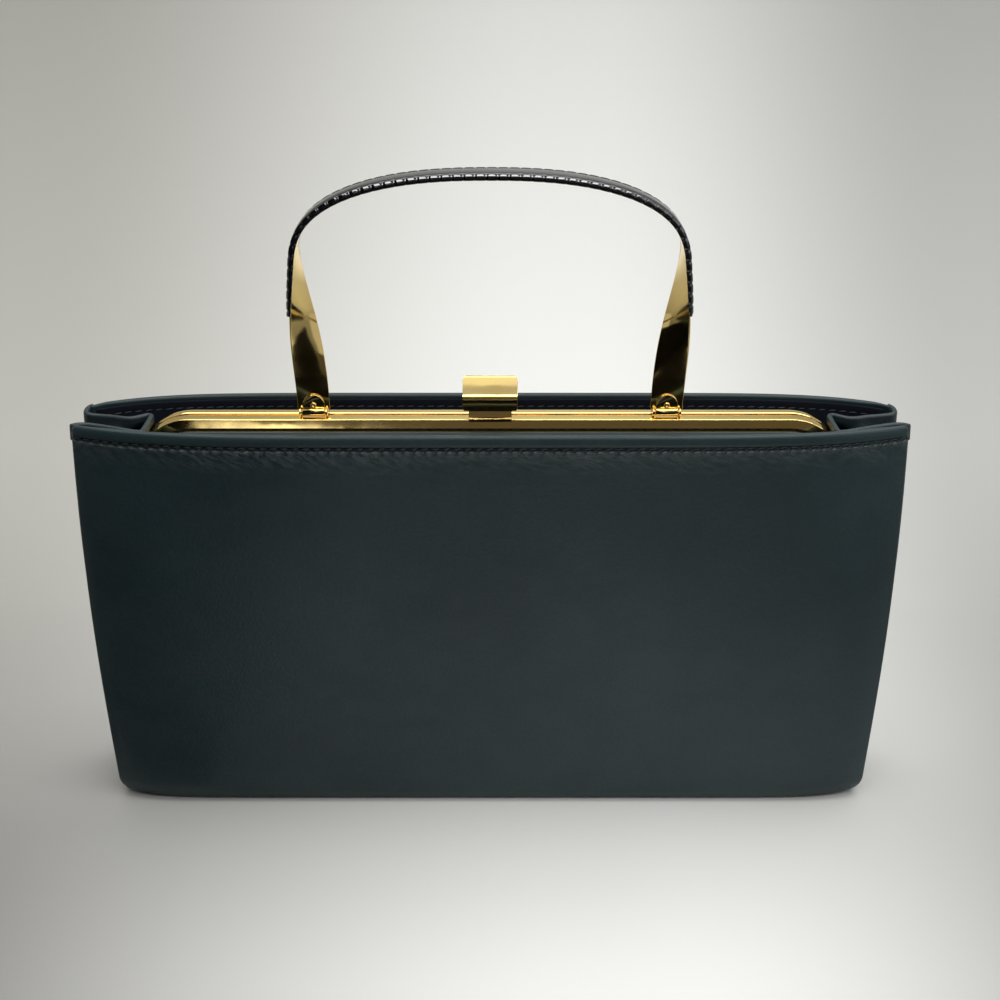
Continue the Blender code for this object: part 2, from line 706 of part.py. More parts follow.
def build_leaf(name, x_middle, parent):
    """Hinge leaf: a plate with a round top whose foot is curled into a barrel."""
    half = LEAF_WIDTH / 2
    plate_back = -HINGE_AXIS_SETBACK + HINGE_BARREL_RADIUS
    centre_z = BAG_HEIGHT + HANDLE_RIVET_HEIGHT
    top = []
    for step in range(ROUND_STEPS + 1):
        turn = math.pi * step / ROUND_STEPS
        top.append((x_middle + half * math.cos(turn), centre_z + half * math.sin(turn)))
    outline = top + [(x_middle - half, HANDLE_AXIS_HEIGHT), (x_middle + half, HANDLE_AXIS_HEIGHT)]
    plate = prism_y(outline, plate_back - LEAF_THICKNESS, plate_back)
    leaf = add_object(name, plate, GOLD, parent)
    axis_y = -HINGE_AXIS_SETBACK
    barrel = rod_x(HINGE_BARREL_RADIUS, axis_y, HANDLE_AXIS_HEIGHT, x_middle - half, x_middle + half)
    apply_boolean(leaf, barrel, "UNION")
    reach = half + OVERRUN
    bore = rod_x(HINGE_BORE_RADIUS, axis_y, HANDLE_AXIS_HEIGHT, x_middle - reach, x_middle + reach)
    hole = rod_y(HANDLE_RIVET_RADIUS + GAP, x_middle, centre_z,
                 plate_back - LEAF_THICKNESS - OVERRUN, plate_back + OVERRUN)
    apply_boolean(leaf, merge_shapes([bore, hole]), "DIFFERENCE")
    shade_round(leaf)


def build_handle_rivet(name, x_middle, z, parent):
    """Rivet through a leaf and the strip, with a domed head at the front."""
    front = -HINGE_AXIS_SETBACK + HINGE_BARREL_RADIUS - LEAF_THICKNESS - GAP
    back = STRIP_MIDDLE + STRIP_THICKNESS / 2 + GAP
    head = HANDLE_RIVET_HEAD
    wide = HANDLE_RIVET_HEAD_RADIUS
    spots = [(front - head, wide * DOME_TOP_SHARE), (front - head / 2, wide * DOME_MIDDLE_SHARE),
             (front, wide), (front, HANDLE_RIVET_RADIUS), (back, HANDLE_RIVET_RADIUS),
             (back, wide), (back + head / 2, wide)]
    rings = [[(x, y, height) for x, height in circle_points(radius, x_middle, z)]
             for y, radius in spots]
    rivet = add_object(name, loft_rings(rings, True), GOLD, parent)
    shade_round(rivet)


def build_handle_pins(parent):
    """Pins that each handle hinge turns on, held in the rear rail's ears."""
    reach = LEAF_WIDTH / 2 + GAP + HANDLE_EAR
    for name, end in (("left", -1), ("right", 1)):
        middle = end * HANDLE_SPAN / 2
        shape = rod_x(HINGE_PIN_RADIUS, -HINGE_AXIS_SETBACK, HANDLE_AXIS_HEIGHT,
                      middle - reach, middle + reach)
        shade_round(add_object("handle_pin_" + name, shape, GOLD, parent))


def clasp_plate_outline():
    """Side outline of the clasp's bent plate: an upright face, then a thumb tab leaning back."""
    front = -CLASP_FACE_SETBACK
    bottom = BAG_HEIGHT + CLASP_FACE_BOTTOM
    bend = BAG_HEIGHT + CLASP_FACE_TOP
    lean = Vector((CLASP_THUMB_REACH, CLASP_THUMB_RISE))
    across = Vector((lean.y, -lean.x)).normalized() * CLASP_PLATE
    tip = Vector((front, bend)) + lean
    inner_bend = bend - CLASP_PLATE * math.tan(math.atan2(lean.x, lean.y) / 2)
    return [(front, bottom), (front, bend), (tip.x, tip.y), (tip.x + across.x, tip.y + across.y),
            (front + CLASP_PLATE, inner_bend), (front + CLASP_PLATE, bottom)]


def clasp_plate():
    """Bent plate of the clasp with the corners of its thumb tab cut off."""
    outline = clasp_plate_outline()
    half = CLASP_WIDTH / 2
    shape = prism_x(outline, -half, half)
    shape.normal_update()
    tip_height = BAG_HEIGHT + CLASP_FACE_TOP + CLASP_THUMB_RISE / 2
    edges = []
    for edge in shape.edges:
        first, second = (vert.co for vert in edge.verts)
        if abs(first.x - second.x) < GAP and min(first.z, second.z) > tip_height:
            edges.append(edge)
    bmesh.ops.bevel(shape, geom=edges, offset=CLASP_CORNER, segments=3, profile=0.5,
                    affect="EDGES")
    return shape


def build_clasp(bag, clasp, front_rail):
    """Clasp tab, its pin on the rear rail, and the catch plate on the front rail."""
    tab = add_object("clasp_tab", clasp_plate(), GOLD, clasp)
    half = CLASP_ARM_WIDTH / 2
    start = Vector((CLASP_AXIS_SETBACK, CLASP_AXIS_HEIGHT))
    inner = -CLASP_FACE_SETBACK + CLASP_PLATE / 2
    stop = Vector((inner, BAG_HEIGHT + CLASP_FACE_TOP - CLASP_PLATE))
    along = (stop - start).normalized()
    across = Vector((-along.y, along.x)) * (CLASP_ARM / 2)
    arm = [start + across, start - across, stop - across, stop + across]
    apply_boolean(tab, prism_x([(point.x, point.y) for point in arm], -half, half), "UNION")
    barrel = rod_x(CLASP_BARREL_RADIUS, CLASP_AXIS_SETBACK, CLASP_AXIS_HEIGHT, -half, half)
    apply_boolean(tab, barrel, "UNION")
    reach = half + OVERRUN
    bore = rod_x(CLASP_BORE_RADIUS, CLASP_AXIS_SETBACK, CLASP_AXIS_HEIGHT, -reach, reach)
    apply_boolean(tab, bore, "DIFFERENCE")
    shade_round(tab)
    pin_reach = half + GAP + CLASP_EAR
    pin = rod_x(CLASP_PIN_RADIUS, CLASP_AXIS_SETBACK, CLASP_AXIS_HEIGHT, -pin_reach, pin_reach)
    shade_round(add_object("clasp_pin", pin, GOLD, bag))
    near = -(RAIL_OUTER - CATCH_SETBACK)
    low = BAG_HEIGHT + GAP
    high = BAG_HEIGHT + CLASP_FACE_BOTTOM - GAP
    back = near + CATCH_THICKNESS
    outline = [(near, low), (back, low), (back + CATCH_LEAN, high), (near + CATCH_LEAN, high)]
    catch = prism_x(outline, -CATCH_WIDTH / 2, CATCH_WIDTH / 2)
    add_object("clasp_catch", catch, GOLD, front_rail)


def main():
    """Build every piece of the clutch."""
    clear_scene()
    bag = hinge_empty("bag_origin", 0.0, 0.0)
    wall_hinge_y = -(BASE_DEPTH - LEATHER) / 2
    front_wall = hinge_empty("front_wall_hinge", wall_hinge_y, TRAY_HEIGHT + GAP / 2)
    front_rail = hinge_empty("front_rail_hinge", 0.0, PIVOT_HEIGHT)
    handle = hinge_empty("handle_hinge", -HINGE_AXIS_SETBACK, HANDLE_AXIS_HEIGHT)
    clasp = hinge_empty("clasp_hinge", CLASP_AXIS_SETBACK, CLASP_AXIS_HEIGHT)
    build_base(bag)
    build_outer_panel("rear", 1, bag)
    build_outer_panel("front", -1, front_wall)
    build_pouch("rear", 1, bag)
    build_pouch("front", -1, front_wall)
    build_gusset("side_gusset_left", -1, bag)
    build_gusset("side_gusset_right", 1, bag)
    build_rails(bag, front_rail)
    build_handle(handle)
    build_handle_pins(bag)
    build_clasp(bag, clasp, front_rail)


main()
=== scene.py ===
"""Looks of the evening clutch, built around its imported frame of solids.

Metres, +Z up, X along the bag's width, -Y to its front. Every leather, lining and thread piece is
built here around the solids, and the metal parts get their polished finish and rounded edges.
"""

import logging
import math
from collections.abc import Callable, Iterable, Sequence
from dataclasses import dataclass, field
from enum import Enum
from functools import partial

import bmesh
import bpy
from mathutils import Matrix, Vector, noise

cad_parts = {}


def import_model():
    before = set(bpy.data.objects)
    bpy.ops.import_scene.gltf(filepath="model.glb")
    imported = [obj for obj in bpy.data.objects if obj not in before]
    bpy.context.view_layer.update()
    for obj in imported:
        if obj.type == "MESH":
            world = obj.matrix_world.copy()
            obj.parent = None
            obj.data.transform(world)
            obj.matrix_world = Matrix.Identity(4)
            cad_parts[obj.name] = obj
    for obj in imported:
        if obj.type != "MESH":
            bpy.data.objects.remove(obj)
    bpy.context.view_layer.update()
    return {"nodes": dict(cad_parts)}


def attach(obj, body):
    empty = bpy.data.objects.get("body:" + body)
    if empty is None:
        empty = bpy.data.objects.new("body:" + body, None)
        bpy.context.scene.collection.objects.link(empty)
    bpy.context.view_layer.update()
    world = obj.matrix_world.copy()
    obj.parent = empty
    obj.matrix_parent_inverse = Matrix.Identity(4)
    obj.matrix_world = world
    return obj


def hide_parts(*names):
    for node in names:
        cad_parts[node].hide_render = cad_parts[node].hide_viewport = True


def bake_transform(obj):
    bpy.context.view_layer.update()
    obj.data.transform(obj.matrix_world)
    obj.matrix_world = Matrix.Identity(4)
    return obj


LOG = logging.getLogger("clutch")
MM = 0.001

Pair = tuple[float, float]
Point = tuple[float, float, float]
Colour = Point
Line = list[Pair]
Row = list[Vector]
Piece = bpy.types.Object
Socket = bpy.types.NodeSocket


class Body(Enum):
    """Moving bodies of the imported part."""

    BAG = "bag"
    FRONT_WALL = "front_wall"
    FRONT_RAIL = "front_rail"
    HANDLE = "handle"
    CLASP = "clasp"


class Side(Enum):
    """Front or rear of the bag, as the sign of Y."""

    FRONT = -1
    REAR = 1

    @property
    def prefix(self) -> str:
        """Return the start of the names of this side's pieces."""
        return self.name.lower()

    @property
    def walls(self) -> Body:
        """Return the body that this side's leather and linings ride on."""
        return Body.FRONT_WALL if self is Side.FRONT else Body.BAG


class End(Enum):
    """Left or right end of the bag, as the sign of X."""

    LEFT = -1
    RIGHT = 1


def mix(low: float, high: float, share: float) -> float:
    """Return the value a share of the way from low to high."""
    return low + (high - low) * share


def smooth_step(share: float) -> float:
    """Return a smooth 0 to 1 step, flat at both ends."""
    share = min(max(share, 0.0), 1.0)
    return share * share * (3.0 - 2.0 * share)


def ramp(value: float, start: float, length: float) -> float:
    """Return a smooth 0 to 1 step that begins at a start and takes a length."""
    return smooth_step((value - start) / length)


def bell(value: float, width: float) -> float:
    """Return a bell curve, 1 at zero and near nothing past twice the width."""
    return math.exp(-((value / width) ** 2))


def spread(low: float, high: float, count: int) -> list[float]:
    """Return evenly spaced values from low to high, both included."""
    return [mix(low, high, step / (count - 1)) for step in range(count)]


def rounding(start: float, stop: float, count: int) -> Line:
    """Return (sine, 1 - cosine) of evenly spaced angles in degrees."""
    turns = [math.radians(turn) for turn in spread(start, stop, count)]
    return [(math.sin(turn), 1.0 - math.cos(turn)) for turn in turns]


def bite(radius: float, distance: float) -> float:
    """Return how far a rounded corner lies inside the square one at a distance from its end."""
    short = max(radius - distance, 0.0)
    return radius - math.sqrt(max(radius * radius - short * short, 0.0))


def tangents(line: Sequence[Vector]) -> Row:
    """Return the direction of a line at each of its points."""
    last = len(line) - 1
    return [(line[min(index + 1, last)] - line[max(index - 1, 0)]).normalized()
            for index in range(last + 1)]


def arc(radius: float, start: float, stop: float, steps: int, first: float = 0.0,
        second: float = 0.0) -> Line:
    """Return points of an arc round a centre.

    Args:
        radius: Radius of the arc.
        start: First angle in degrees.
        stop: Last angle in degrees.
        steps: Number of steps between the two angles.
        first: First coordinate of the centre.
        second: Second coordinate of the centre.

    Returns:
        Points as pairs of coordinates.
    """
    turns = [math.radians(mix(start, stop, step / steps)) for step in range(steps + 1)]
    return [(first + radius * math.cos(turn), second + radius * math.sin(turn)) for turn in turns]


# Finishes


def put(tree: bpy.types.NodeTree, socket: Socket, value: object) -> None:
    """Link a socket to an input, or set the input's own value."""
    if isinstance(value, Socket):
        tree.links.new(value, socket)
    else:
        socket.default_value = value


def add_node(tree: bpy.types.NodeTree, kind: str, values: dict | None = None,
             **settings: object) -> bpy.types.Node:
    """Add a node to a tree.

    Args:
        tree: The node tree.
        kind: Blender's name of the node type.
        values: Sockets or plain values for the node's inputs.
        **settings: Properties of the node.

    Returns:
        The new node.
    """
    node = tree.nodes.new(kind)
    for key, value in settings.items():
        setattr(node, key, value)
    for key, value in (values or {}).items():
        put(tree, node.inputs[key], value)
    return node


class Graph:
    """Node tree of one material, with short calls that add and join its nodes."""

    def __init__(self, name: str) -> None:
        """Start a material of that name with a Principled shader."""
        self.material = bpy.data.materials.new(name)
        self.material.use_nodes = True
        self.tree = self.material.node_tree
        self.shader = self.tree.nodes["Principled BSDF"]
        self.add = partial(add_node, self.tree)
        self.spot = self.add("ShaderNodeTexCoord").outputs["Object"]
        self.axes = self.add("ShaderNodeSeparateXYZ", {0: self.spot}).outputs

    def stretch(self, scale: Colour) -> Socket:
        """Return Object coordinates scaled along each axis."""
        return self.add("ShaderNodeMapping", {"Vector": self.spot, "Scale": scale}).outputs[0]

    def noise(self, scale: float, detail: float = 2.0, spot: object = None,
              distortion: float = 0.0) -> Socket:
        """Return a noise value between 0 and 1 in Object coordinates."""
        values = {"Vector": spot or self.spot, "Scale": scale, "Detail": detail,
                  "Distortion": distortion}
        return self.add("ShaderNodeTexNoise", values).outputs["Fac"]

    def cells(self, scale: float) -> Socket:
        """Return the distance value of a soft cell pattern in Object coordinates."""
        values = {"Vector": self.spot, "Scale": scale}
        return self.add("ShaderNodeTexVoronoi", values, feature="SMOOTH_F1").outputs["Distance"]

    def level(self, value: object, start: float, stop: float, low: float = 0.0,
              high: float = 1.0, curve: str = "LINEAR") -> Socket:
        """Return a value mapped from start..stop to low..high."""
        values = {"Value": value, "From Min": start, "From Max": stop, "To Min": low,
                  "To Max": high}
        node = self.add("ShaderNodeMapRange", values, interpolation_type=curve)
        return node.outputs["Result"]

    def sums(self, operation: str, first: object, second: object = 0.0) -> Socket:
        """Return the result of a sum of one or two values."""
        return self.add("ShaderNodeMath", {0: first, 1: second}, operation=operation).outputs[0]

    def times(self, first: object, second: object) -> Socket:
        """Return the product of two values."""
        return self.sums("MULTIPLY", first, second)

    def blend(self, share: object, low: object, high: object, way: str = "MIX") -> Socket:
        """Return a colour between two, or one laid over the other, by a share."""
        low, high = (item if isinstance(item, Socket) else (*item, 1.0) for item in (low, high))
        node = self.add("ShaderNodeMix", {"Factor": share, "A": low, "B": high},
                        data_type="RGBA", blend_type=way)
        return node.outputs["Result"]

    def bump(self, height: object, distance: float, strength: float = 1.0,
             under: object = None) -> Socket:
        """Return a normal raised by a height value, over another normal if one is given."""
        values = {"Height": height, "Distance": distance, "Strength": strength}
        if under is not None:
            values["Normal"] = under
        return self.add("ShaderNodeBump", values).outputs["Normal"]

    def finish(self, **sockets: object) -> bpy.types.Material:
        """Set the shader's inputs, given with underscores for spaces, and return the material."""
        for name, value in sockets.items():
            put(self.tree, self.shader.inputs[name.replace("_", " ")], value)
        return self.material


@dataclass(frozen=True)
class Finish:
    """A finish; its material is made on first use and shared after that."""

    name: str
    colour: Colour

    def material(self) -> bpy.types.Material:
        """Return the material of this finish."""
        return bpy.data.materials.get(self.name) or self.build()

    def build(self) -> bpy.types.Material:
        """Build the material; each kind of finish does this in its own way."""
        raise NotImplementedError


@dataclass(frozen=True)
class SmoothLeather(Finish):
    """Smooth dark leather with a fine grain, soft cloudy colour, faint rub marks in its roughness
    and a painted highlight along its top edges.
    """

    # Paler tone for the random colour clouds, also the colour of the painted highlight on the top
    # edges.
    cloud_tone_and_rim_highlight: Colour
    roughness: float = 0.42
    grain: float = 0.9 * MM
    depth: float = 0.05 * MM
    rim_low: float = 2.2 * MM
    rim_high: float = 0.4 * MM

    def build(self) -> bpy.types.Material:
        """Return leather with grain bump, colour clouds, a varied sheen and a painted highlight on
        its top edges.
        """
        graph = Graph(self.name)
        cloud = graph.level(graph.noise(16.0, 4.0), 0.35, 0.68)
        # Painted highlight: near the top edge the colour is mixed towards the paler tone, as if lit
        # from above.
        rim = graph.level(graph.axes["Z"], SHAPE.height - self.rim_low,
                          SHAPE.height - self.rim_high, 0.0, 0.9)
        tone = graph.blend(graph.sums("MAXIMUM", cloud, rim), self.colour, self.cloud_tone_and_rim_highlight)
        cells = graph.cells(1.0 / self.grain)
        dip = graph.level(cells, 0.1, 0.7, 0.86, 1.06)
        grey = graph.add("ShaderNodeCombineColor", {0: dip, 1: dip, 2: dip}).outputs[0]
        shade = graph.blend(0.8, tone, grey, "MULTIPLY")
        pores = graph.times(graph.noise(2.6 / self.grain), 0.6)
        fine = graph.bump(graph.sums("ADD", cells, pores), self.depth)
        wide = graph.bump(graph.noise(130.0, 3.0), 0.12 * MM, 0.8, fine)
        rub = graph.noise(55.0, 5.0, graph.stretch((1.0, 1.0, 2.2)), 0.8)
        rough = graph.level(rub, 0.3, 0.7, self.roughness - 0.06, self.roughness + 0.09)
        colour, normal = self.gather(graph, shade, wide)
        return graph.finish(Base_Color=colour, Roughness=rough, Normal=normal,
                            Specular_IOR_Level=0.35)

    def gather(self, graph: Graph, colour: object, normal: object) -> tuple[object, object]:
        """Return the colour and the normal as they are; a leather with a seam changes them."""
        return colour, normal


@dataclass(frozen=True)
class SeamedLeather(SmoothLeather):
    """The same leather, drawn into a seam with small slanting folds under it, with painted shade
    along the seam's groove and painted highlights on the folds.
    """

    # Painted highlight colour of fold crests and puffs, then the painted shade colour of the seam
    # groove.
    fold_highlight: Colour = (0.060, 0.078, 0.084)
    groove_shade: Colour = (0.0015, 0.0020, 0.0022)
    pitch: float = 3.4 * MM
    seam: float = 133.9 * MM
    slant: float = 0.42
    light: float = 0.72
    fold_depth: float = 0.42 * MM

    def gather(self, graph: Graph, colour: object, normal: object) -> tuple[object, object]:
        """Return the colour and the normal with a scalloped seam and folds added, with painted
        shade on the seam line and a painted highlight on fold crests and puffs.
        """
        below = graph.sums("SUBTRACT", self.seam, graph.axes["Z"])
        turn = graph.times(graph.axes["X"], math.tau / self.pitch)
        drift = graph.times(graph.noise(90.0), 2.4)
        wave = graph.sums("COSINE", graph.sums("ADD", turn, drift))
        lip = graph.sums("SUBTRACT", below, graph.level(wave, -1.0, 1.0, 0.0, 0.75 * MM))
        # Painted shade: the scalloped seam line is darkened nearly to black, where the groove lies
        # in shade.
        line = graph.level(graph.sums("ABSOLUTE", lip), 0.12 * MM, 0.55 * MM, 0.9, 0.0)
        upper = graph.level(below, 0.4 * MM, 1.1 * MM)
        zone = graph.times(upper, graph.level(below, 1.6 * MM, 9.0 * MM, 1.0, 0.0))
        patch = graph.level(graph.noise(24.0), 0.36, 0.62, 0.25, 1.0)
        skew = graph.add("ShaderNodeMapping", {
            "Vector": graph.spot, "Rotation": (0.0, self.slant, 0.0), "Scale": (3.0, 1.0, 1.0)},
            vector_type="TEXTURE").outputs[0]
        folds = graph.level(graph.noise(620.0, 2.0, skew), 0.42, 0.66)
        fold = graph.times(folds, graph.times(zone, patch))
        swell = graph.times(upper, graph.level(below, 1.3 * MM, 2.4 * MM, 1.0, 0.0))
        puff = graph.times(graph.level(wave, -1.0, 1.0, 1.0, 0.0), swell)
        # Painted highlight: fold crests and puffs between the stitches turn paler, as if lit from
        # above.
        light = graph.times(graph.sums("MAXIMUM", fold, puff), self.light)
        colour = graph.blend(line, graph.blend(light, colour, self.fold_highlight), self.groove_shade)
        rise = graph.sums("SUBTRACT", graph.sums("ADD", fold, puff), line)
        return colour, graph.bump(rise, self.fold_depth, 1.0, normal)


@dataclass(frozen=True)
class PatentLeather(Finish):
    """Glossy black leather with a slightly uneven lacquer."""

    roughness: float = 0.10
    lift: float = 1.8

    def build(self) -> bpy.types.Material:
        """Return glossy leather with a soft waviness."""
        graph = Graph(self.name)
        smear = graph.noise(90.0, 4.0)
        tone = graph.blend(graph.level(smear, 0.4, 0.7), self.colour,
                           tuple(value * self.lift for value in self.colour))
        rough = graph.level(smear, 0.35, 0.75, self.roughness, self.roughness + 0.04)
        return graph.finish(Base_Color=tone, Roughness=rough, IOR=1.7,
                            Normal=graph.bump(graph.noise(420.0), 0.02 * MM, 0.7))


@dataclass(frozen=True)
class WovenLining(Finish):
    """Plain woven lining cloth."""

    thread: Colour
    pitch: float = 0.45 * MM

    def build(self) -> bpy.types.Material:
        """Return cloth with a plain weave in the X and Z directions."""
        graph = Graph(self.name)
        warp, weft = (graph.sums("SINE", graph.times(graph.axes[axis], math.tau / self.pitch))
                      for axis in "XZ")
        weave = graph.times(warp, weft)
        slub = graph.noise(700.0, 3.0)
        share = graph.level(graph.sums("ADD", weave, slub), -0.8, 1.8)
        return graph.finish(Base_Color=graph.blend(share, self.colour, self.thread),
                            Roughness=0.8, Specular_IOR_Level=0.2, Sheen_Weight=0.05,
                            Sheen_Roughness=0.5, Normal=graph.bump(weave, 0.05 * MM))


@dataclass(frozen=True)
class PulpBoard(Finish):
    """Grey-brown stiffener board with small fibres."""

    fibre: Colour

    def build(self) -> bpy.types.Material:
        """Return board with a fibrous colour and a rough face."""
        graph = Graph(self.name)
        fibres = graph.noise(900.0, 4.0, graph.stretch((0.3, 1.0, 1.0)))
        tone = graph.blend(graph.level(fibres, 0.3, 0.7), self.colour, self.fibre)
        return graph.finish(Base_Color=tone, Roughness=0.9, Normal=graph.bump(fibres, 0.08 * MM))


@dataclass(frozen=True)
class PolishedGold(Finish):
    """Polished gold-tone metal with faint handling marks."""

    worn: Colour
    roughness: float = 0.07

    def build(self) -> bpy.types.Material:
        """Return polished metal with a little waviness and fine scratches."""
        graph = Graph(self.name)
        smear = graph.noise(70.0, 5.0, distortion=0.6)
        tone = graph.blend(graph.level(smear, 0.42, 0.72), self.colour, self.worn)
        scratch = graph.noise(900.0, 2.0, graph.stretch((0.08, 1.0, 1.0)))
        wave = graph.bump(graph.noise(150.0, 1.0), 0.12 * MM, 0.5)
        rough = graph.level(smear, 0.35, 0.75, self.roughness, self.roughness + 0.10)
        return graph.finish(Base_Color=tone, Metallic=1.0, Roughness=rough,
                            Normal=graph.bump(scratch, 0.004 * MM, 0.5, wave))


@dataclass(frozen=True)
class Thread(Finish):
    """Twisted sewing thread."""

    lit: Colour

    def build(self) -> bpy.types.Material:
        """Return thread with a fine twist."""
        graph = Graph(self.name)
        twist = graph.noise(3200.0, 1.0)
        tone = graph.blend(graph.level(twist, 0.3, 0.7), self.colour, self.lit)
        return graph.finish(Base_Color=tone, Roughness=0.55, Normal=graph.bump(twist, 0.05 * MM))


@dataclass(frozen=True)
class StudioPaper(Finish):
    """Plain pale paper of the floor and backdrop, with painted shade that makes it softly darker
    towards its left and right, and more at the front of those sides.
    """

    left: Colour
    front_left: Colour
    right: Colour
    front_right: Colour

    def build(self) -> bpy.types.Material:
        """Return matt paper with painted shade that changes its tone sideways and forwards, clear
        from behind.
        """
        graph = Graph(self.name)
        # Painted shade: darker towards both sides and, at the sides, towards the front, standing in
        # for light falling off.
        forward = graph.level(graph.axes["Y"], -0.15, 0.25, 1.0, 0.0)
        tone = self.colour
        for rear, front, start, stop in ((self.left, self.front_left, 0.03, -0.24),
                                         (self.right, self.front_right, 0.05, 0.25)):
            share = graph.level(graph.axes["X"], start, stop, curve="SMOOTHSTEP")
            tone = graph.blend(share, tone, graph.blend(forward, rear, front))
        paper = graph.finish(Base_Color=tone, Roughness=0.85)
        behind = graph.times(graph.add("ShaderNodeNewGeometry").outputs["Backfacing"],
                             graph.add("ShaderNodeLightPath").outputs["Is Camera Ray"])
        clear = graph.add("ShaderNodeBsdfTransparent").outputs[0]
        shown = graph.add("ShaderNodeMixShader", {0: behind, 1: graph.shader.outputs[0], 2: clear})
        put(graph.tree, graph.tree.nodes["Material Output"].inputs["Surface"], shown.outputs[0])
        return paper


@dataclass(frozen=True)
class ReflectorCard(Finish):
    """Matt card that stands where only the metal and the leather reflect it."""

    def build(self) -> bpy.types.Material:
        """Return matt card."""
        return Graph(self.name).finish(Base_Color=(*self.colour, 1.0), Roughness=1.0,
                                       Specular_IOR_Level=0.0)


# Each leather's second colour is its paler cloud tone, also used for the painted highlight along
# its top edges.
TEAL = SmoothLeather("teal_leather", (0.0145, 0.0285, 0.0325), (0.0215, 0.0395, 0.0430))
TEAL_SEAM = SeamedLeather("teal_seamed_leather", TEAL.colour, TEAL.cloud_tone_and_rim_highlight)
TEAL_EDGE = SmoothLeather("teal_edge_leather", (0.0150, 0.0260, 0.0295), (0.026, 0.039, 0.042),
                          roughness=0.38)
PATENT = PatentLeather("black_patent", (0.005, 0.005, 0.006), 0.05)
NAVY = WovenLining("navy_lining", (0.003, 0.005, 0.012), (0.008, 0.011, 0.024))
# Partly painted shade: the board's brown is darkened so that where it shows in the seam gaps it
# reads as their shade.
BOARD = PulpBoard("stiff_board", (0.075, 0.060, 0.045), (0.13, 0.105, 0.08))
GOLD = PolishedGold("polished_gold", (0.90, 0.67, 0.25), (0.84, 0.62, 0.27))
DARK_THREAD = Thread("dark_thread", (0.012, 0.018, 0.020), (0.034, 0.044, 0.047))
BLACK_THREAD = Thread("black_thread", (0.006, 0.006, 0.007), (0.03, 0.03, 0.032))
# Pale middle tone, then the painted shade at the left, front left, right and front right.
PAPER = StudioPaper("studio_paper", (0.79, 0.785, 0.75), (0.45, 0.44, 0.40), (0.16, 0.155, 0.145),
                    (0.45, 0.45, 0.425), (0.15, 0.15, 0.14))
DARK_CARD = ReflectorCard("dark_card", (0.004, 0.004, 0.004))
DIM_CARD = ReflectorCard("dim_card", (0.12, 0.105, 0.09))


# Mesh helpers


def new_object(name: str, mesh: bpy.types.Mesh) -> Piece:
    """Return a new object at the origin that shows a mesh."""
    item = bpy.data.objects.new(name, mesh)
    bpy.context.scene.collection.objects.link(item)
    return item


def close_mesh(name: str, points: list, faces: list) -> Piece:
    """Make one object from points and faces and turn its faces outwards.

    Args:
        name: Name of the piece.
        points: Corner points in metres.
        faces: Lists of point numbers.

    Returns:
        The new object, shaded smooth.
    """
    mesh = bpy.data.meshes.new(name)
    mesh.from_pydata([tuple(point) for point in points], [], faces)
    shape = bmesh.new()
    shape.from_mesh(mesh)
    bmesh.ops.recalc_face_normals(shape, faces=shape.faces)
    shape.to_mesh(mesh)
    shape.free()
    mesh.shade_smooth()
    return new_object(name, mesh)


def sheet_solid(name: str, near: list[Row], far: list[Row]) -> Piece:
    """Close two grids of points, the near and the far face of a sheet, into one solid."""
    rows = len(near)
    columns = len(near[0])
    points = [spot for grid in (near, far) for row in grid for spot in row]

    def quad(*corners: tuple[int, int, int]) -> list[int]:
        """Return a face by its corners' grid, row and column."""
        return [(grid * rows + row) * columns + column for grid, row, column in corners]

    faces = [quad((grid, row, column), (grid, row, column + 1), (grid, row + 1, column + 1),
                  (grid, row + 1, column))
             for row in range(rows - 1) for column in range(columns - 1) for grid in (0, 1)]
    faces += [quad((0, row, column), (0, row, column + 1), (1, row, column + 1), (1, row, column))
              for row in (0, rows - 1) for column in range(columns - 1)]
    faces += [quad((0, row, column), (0, row + 1, column), (1, row + 1, column), (1, row, column))
              for column in (0, columns - 1) for row in range(rows - 1)]
    return close_mesh(name, points, faces)


def ring_solid(name: str, rings: Sequence[Row], looped: bool = False) -> Piece:
    """Skin closed rings of equal length, and close both ends or join them into a loop."""
    count = len(rings[0])
    last = len(rings) - 1
    faces = []
    for ring in range(len(rings) if looped else last):
        follow = (ring + 1) % len(rings)
        for step in range(count):
            after = (step + 1) % count
            faces.append([ring * count + step, ring * count + after, follow * count + after,
                          follow * count + step])
    if not looped:
        faces += [[ring * count + step for step in range(count)] for ring in (0, last)]
    return close_mesh(name, [spot for ring in rings for spot in ring], faces)


def eyelet(name: str, axis: Pair, hole: float, radius: float, low: float,
           high: float) -> Piece:
    """Build a flat ring round an axis along X.

    Args:
        name: Name of the mesh.
        axis: The axis as (y, z).
        hole: Radius of the hole.
        radius: Outer radius.
        low: Lower x of the ring.
        high: Higher x of the ring.

    Returns:
        The ring with rounded outer edges.
    """
    soft = min((radius - hole) / 4, (high - low) / 4)
    section = [(hole, low), (radius - soft, low), (radius, low + soft), (radius, high - soft),
               (radius - soft, high), (hole, high)]
    circles = [arc(size, 0.0, 360.0, 32, *axis)[:-1] for size, _ in section]
    return ring_solid(name, [[Vector((x, *spot)) for (_, x), spot in zip(section, ring)]
                             for ring in zip(*circles)], looped=True)


def block(name: str, low: Point, high: Point, edge: float) -> Piece:
    """Build a block between two corners with rounded edges."""
    outline = [(low[0], low[2]), (high[0], low[2]), (high[0], high[2]), (low[0], high[2])]
    return round_edges(prism(name, outline, low[1], high[1], along_y), edge, 2)


def prism(name: str, outline: Sequence[Pair], low: float, high: float,
          place: Callable[[float, float, float], Vector]) -> Piece:
    """Extrude an outline between two depths; place turns (first, second, depth) into a point."""
    return ring_solid(name, [[place(first, second, depth) for first, second in outline]
                             for depth in (low, high)])


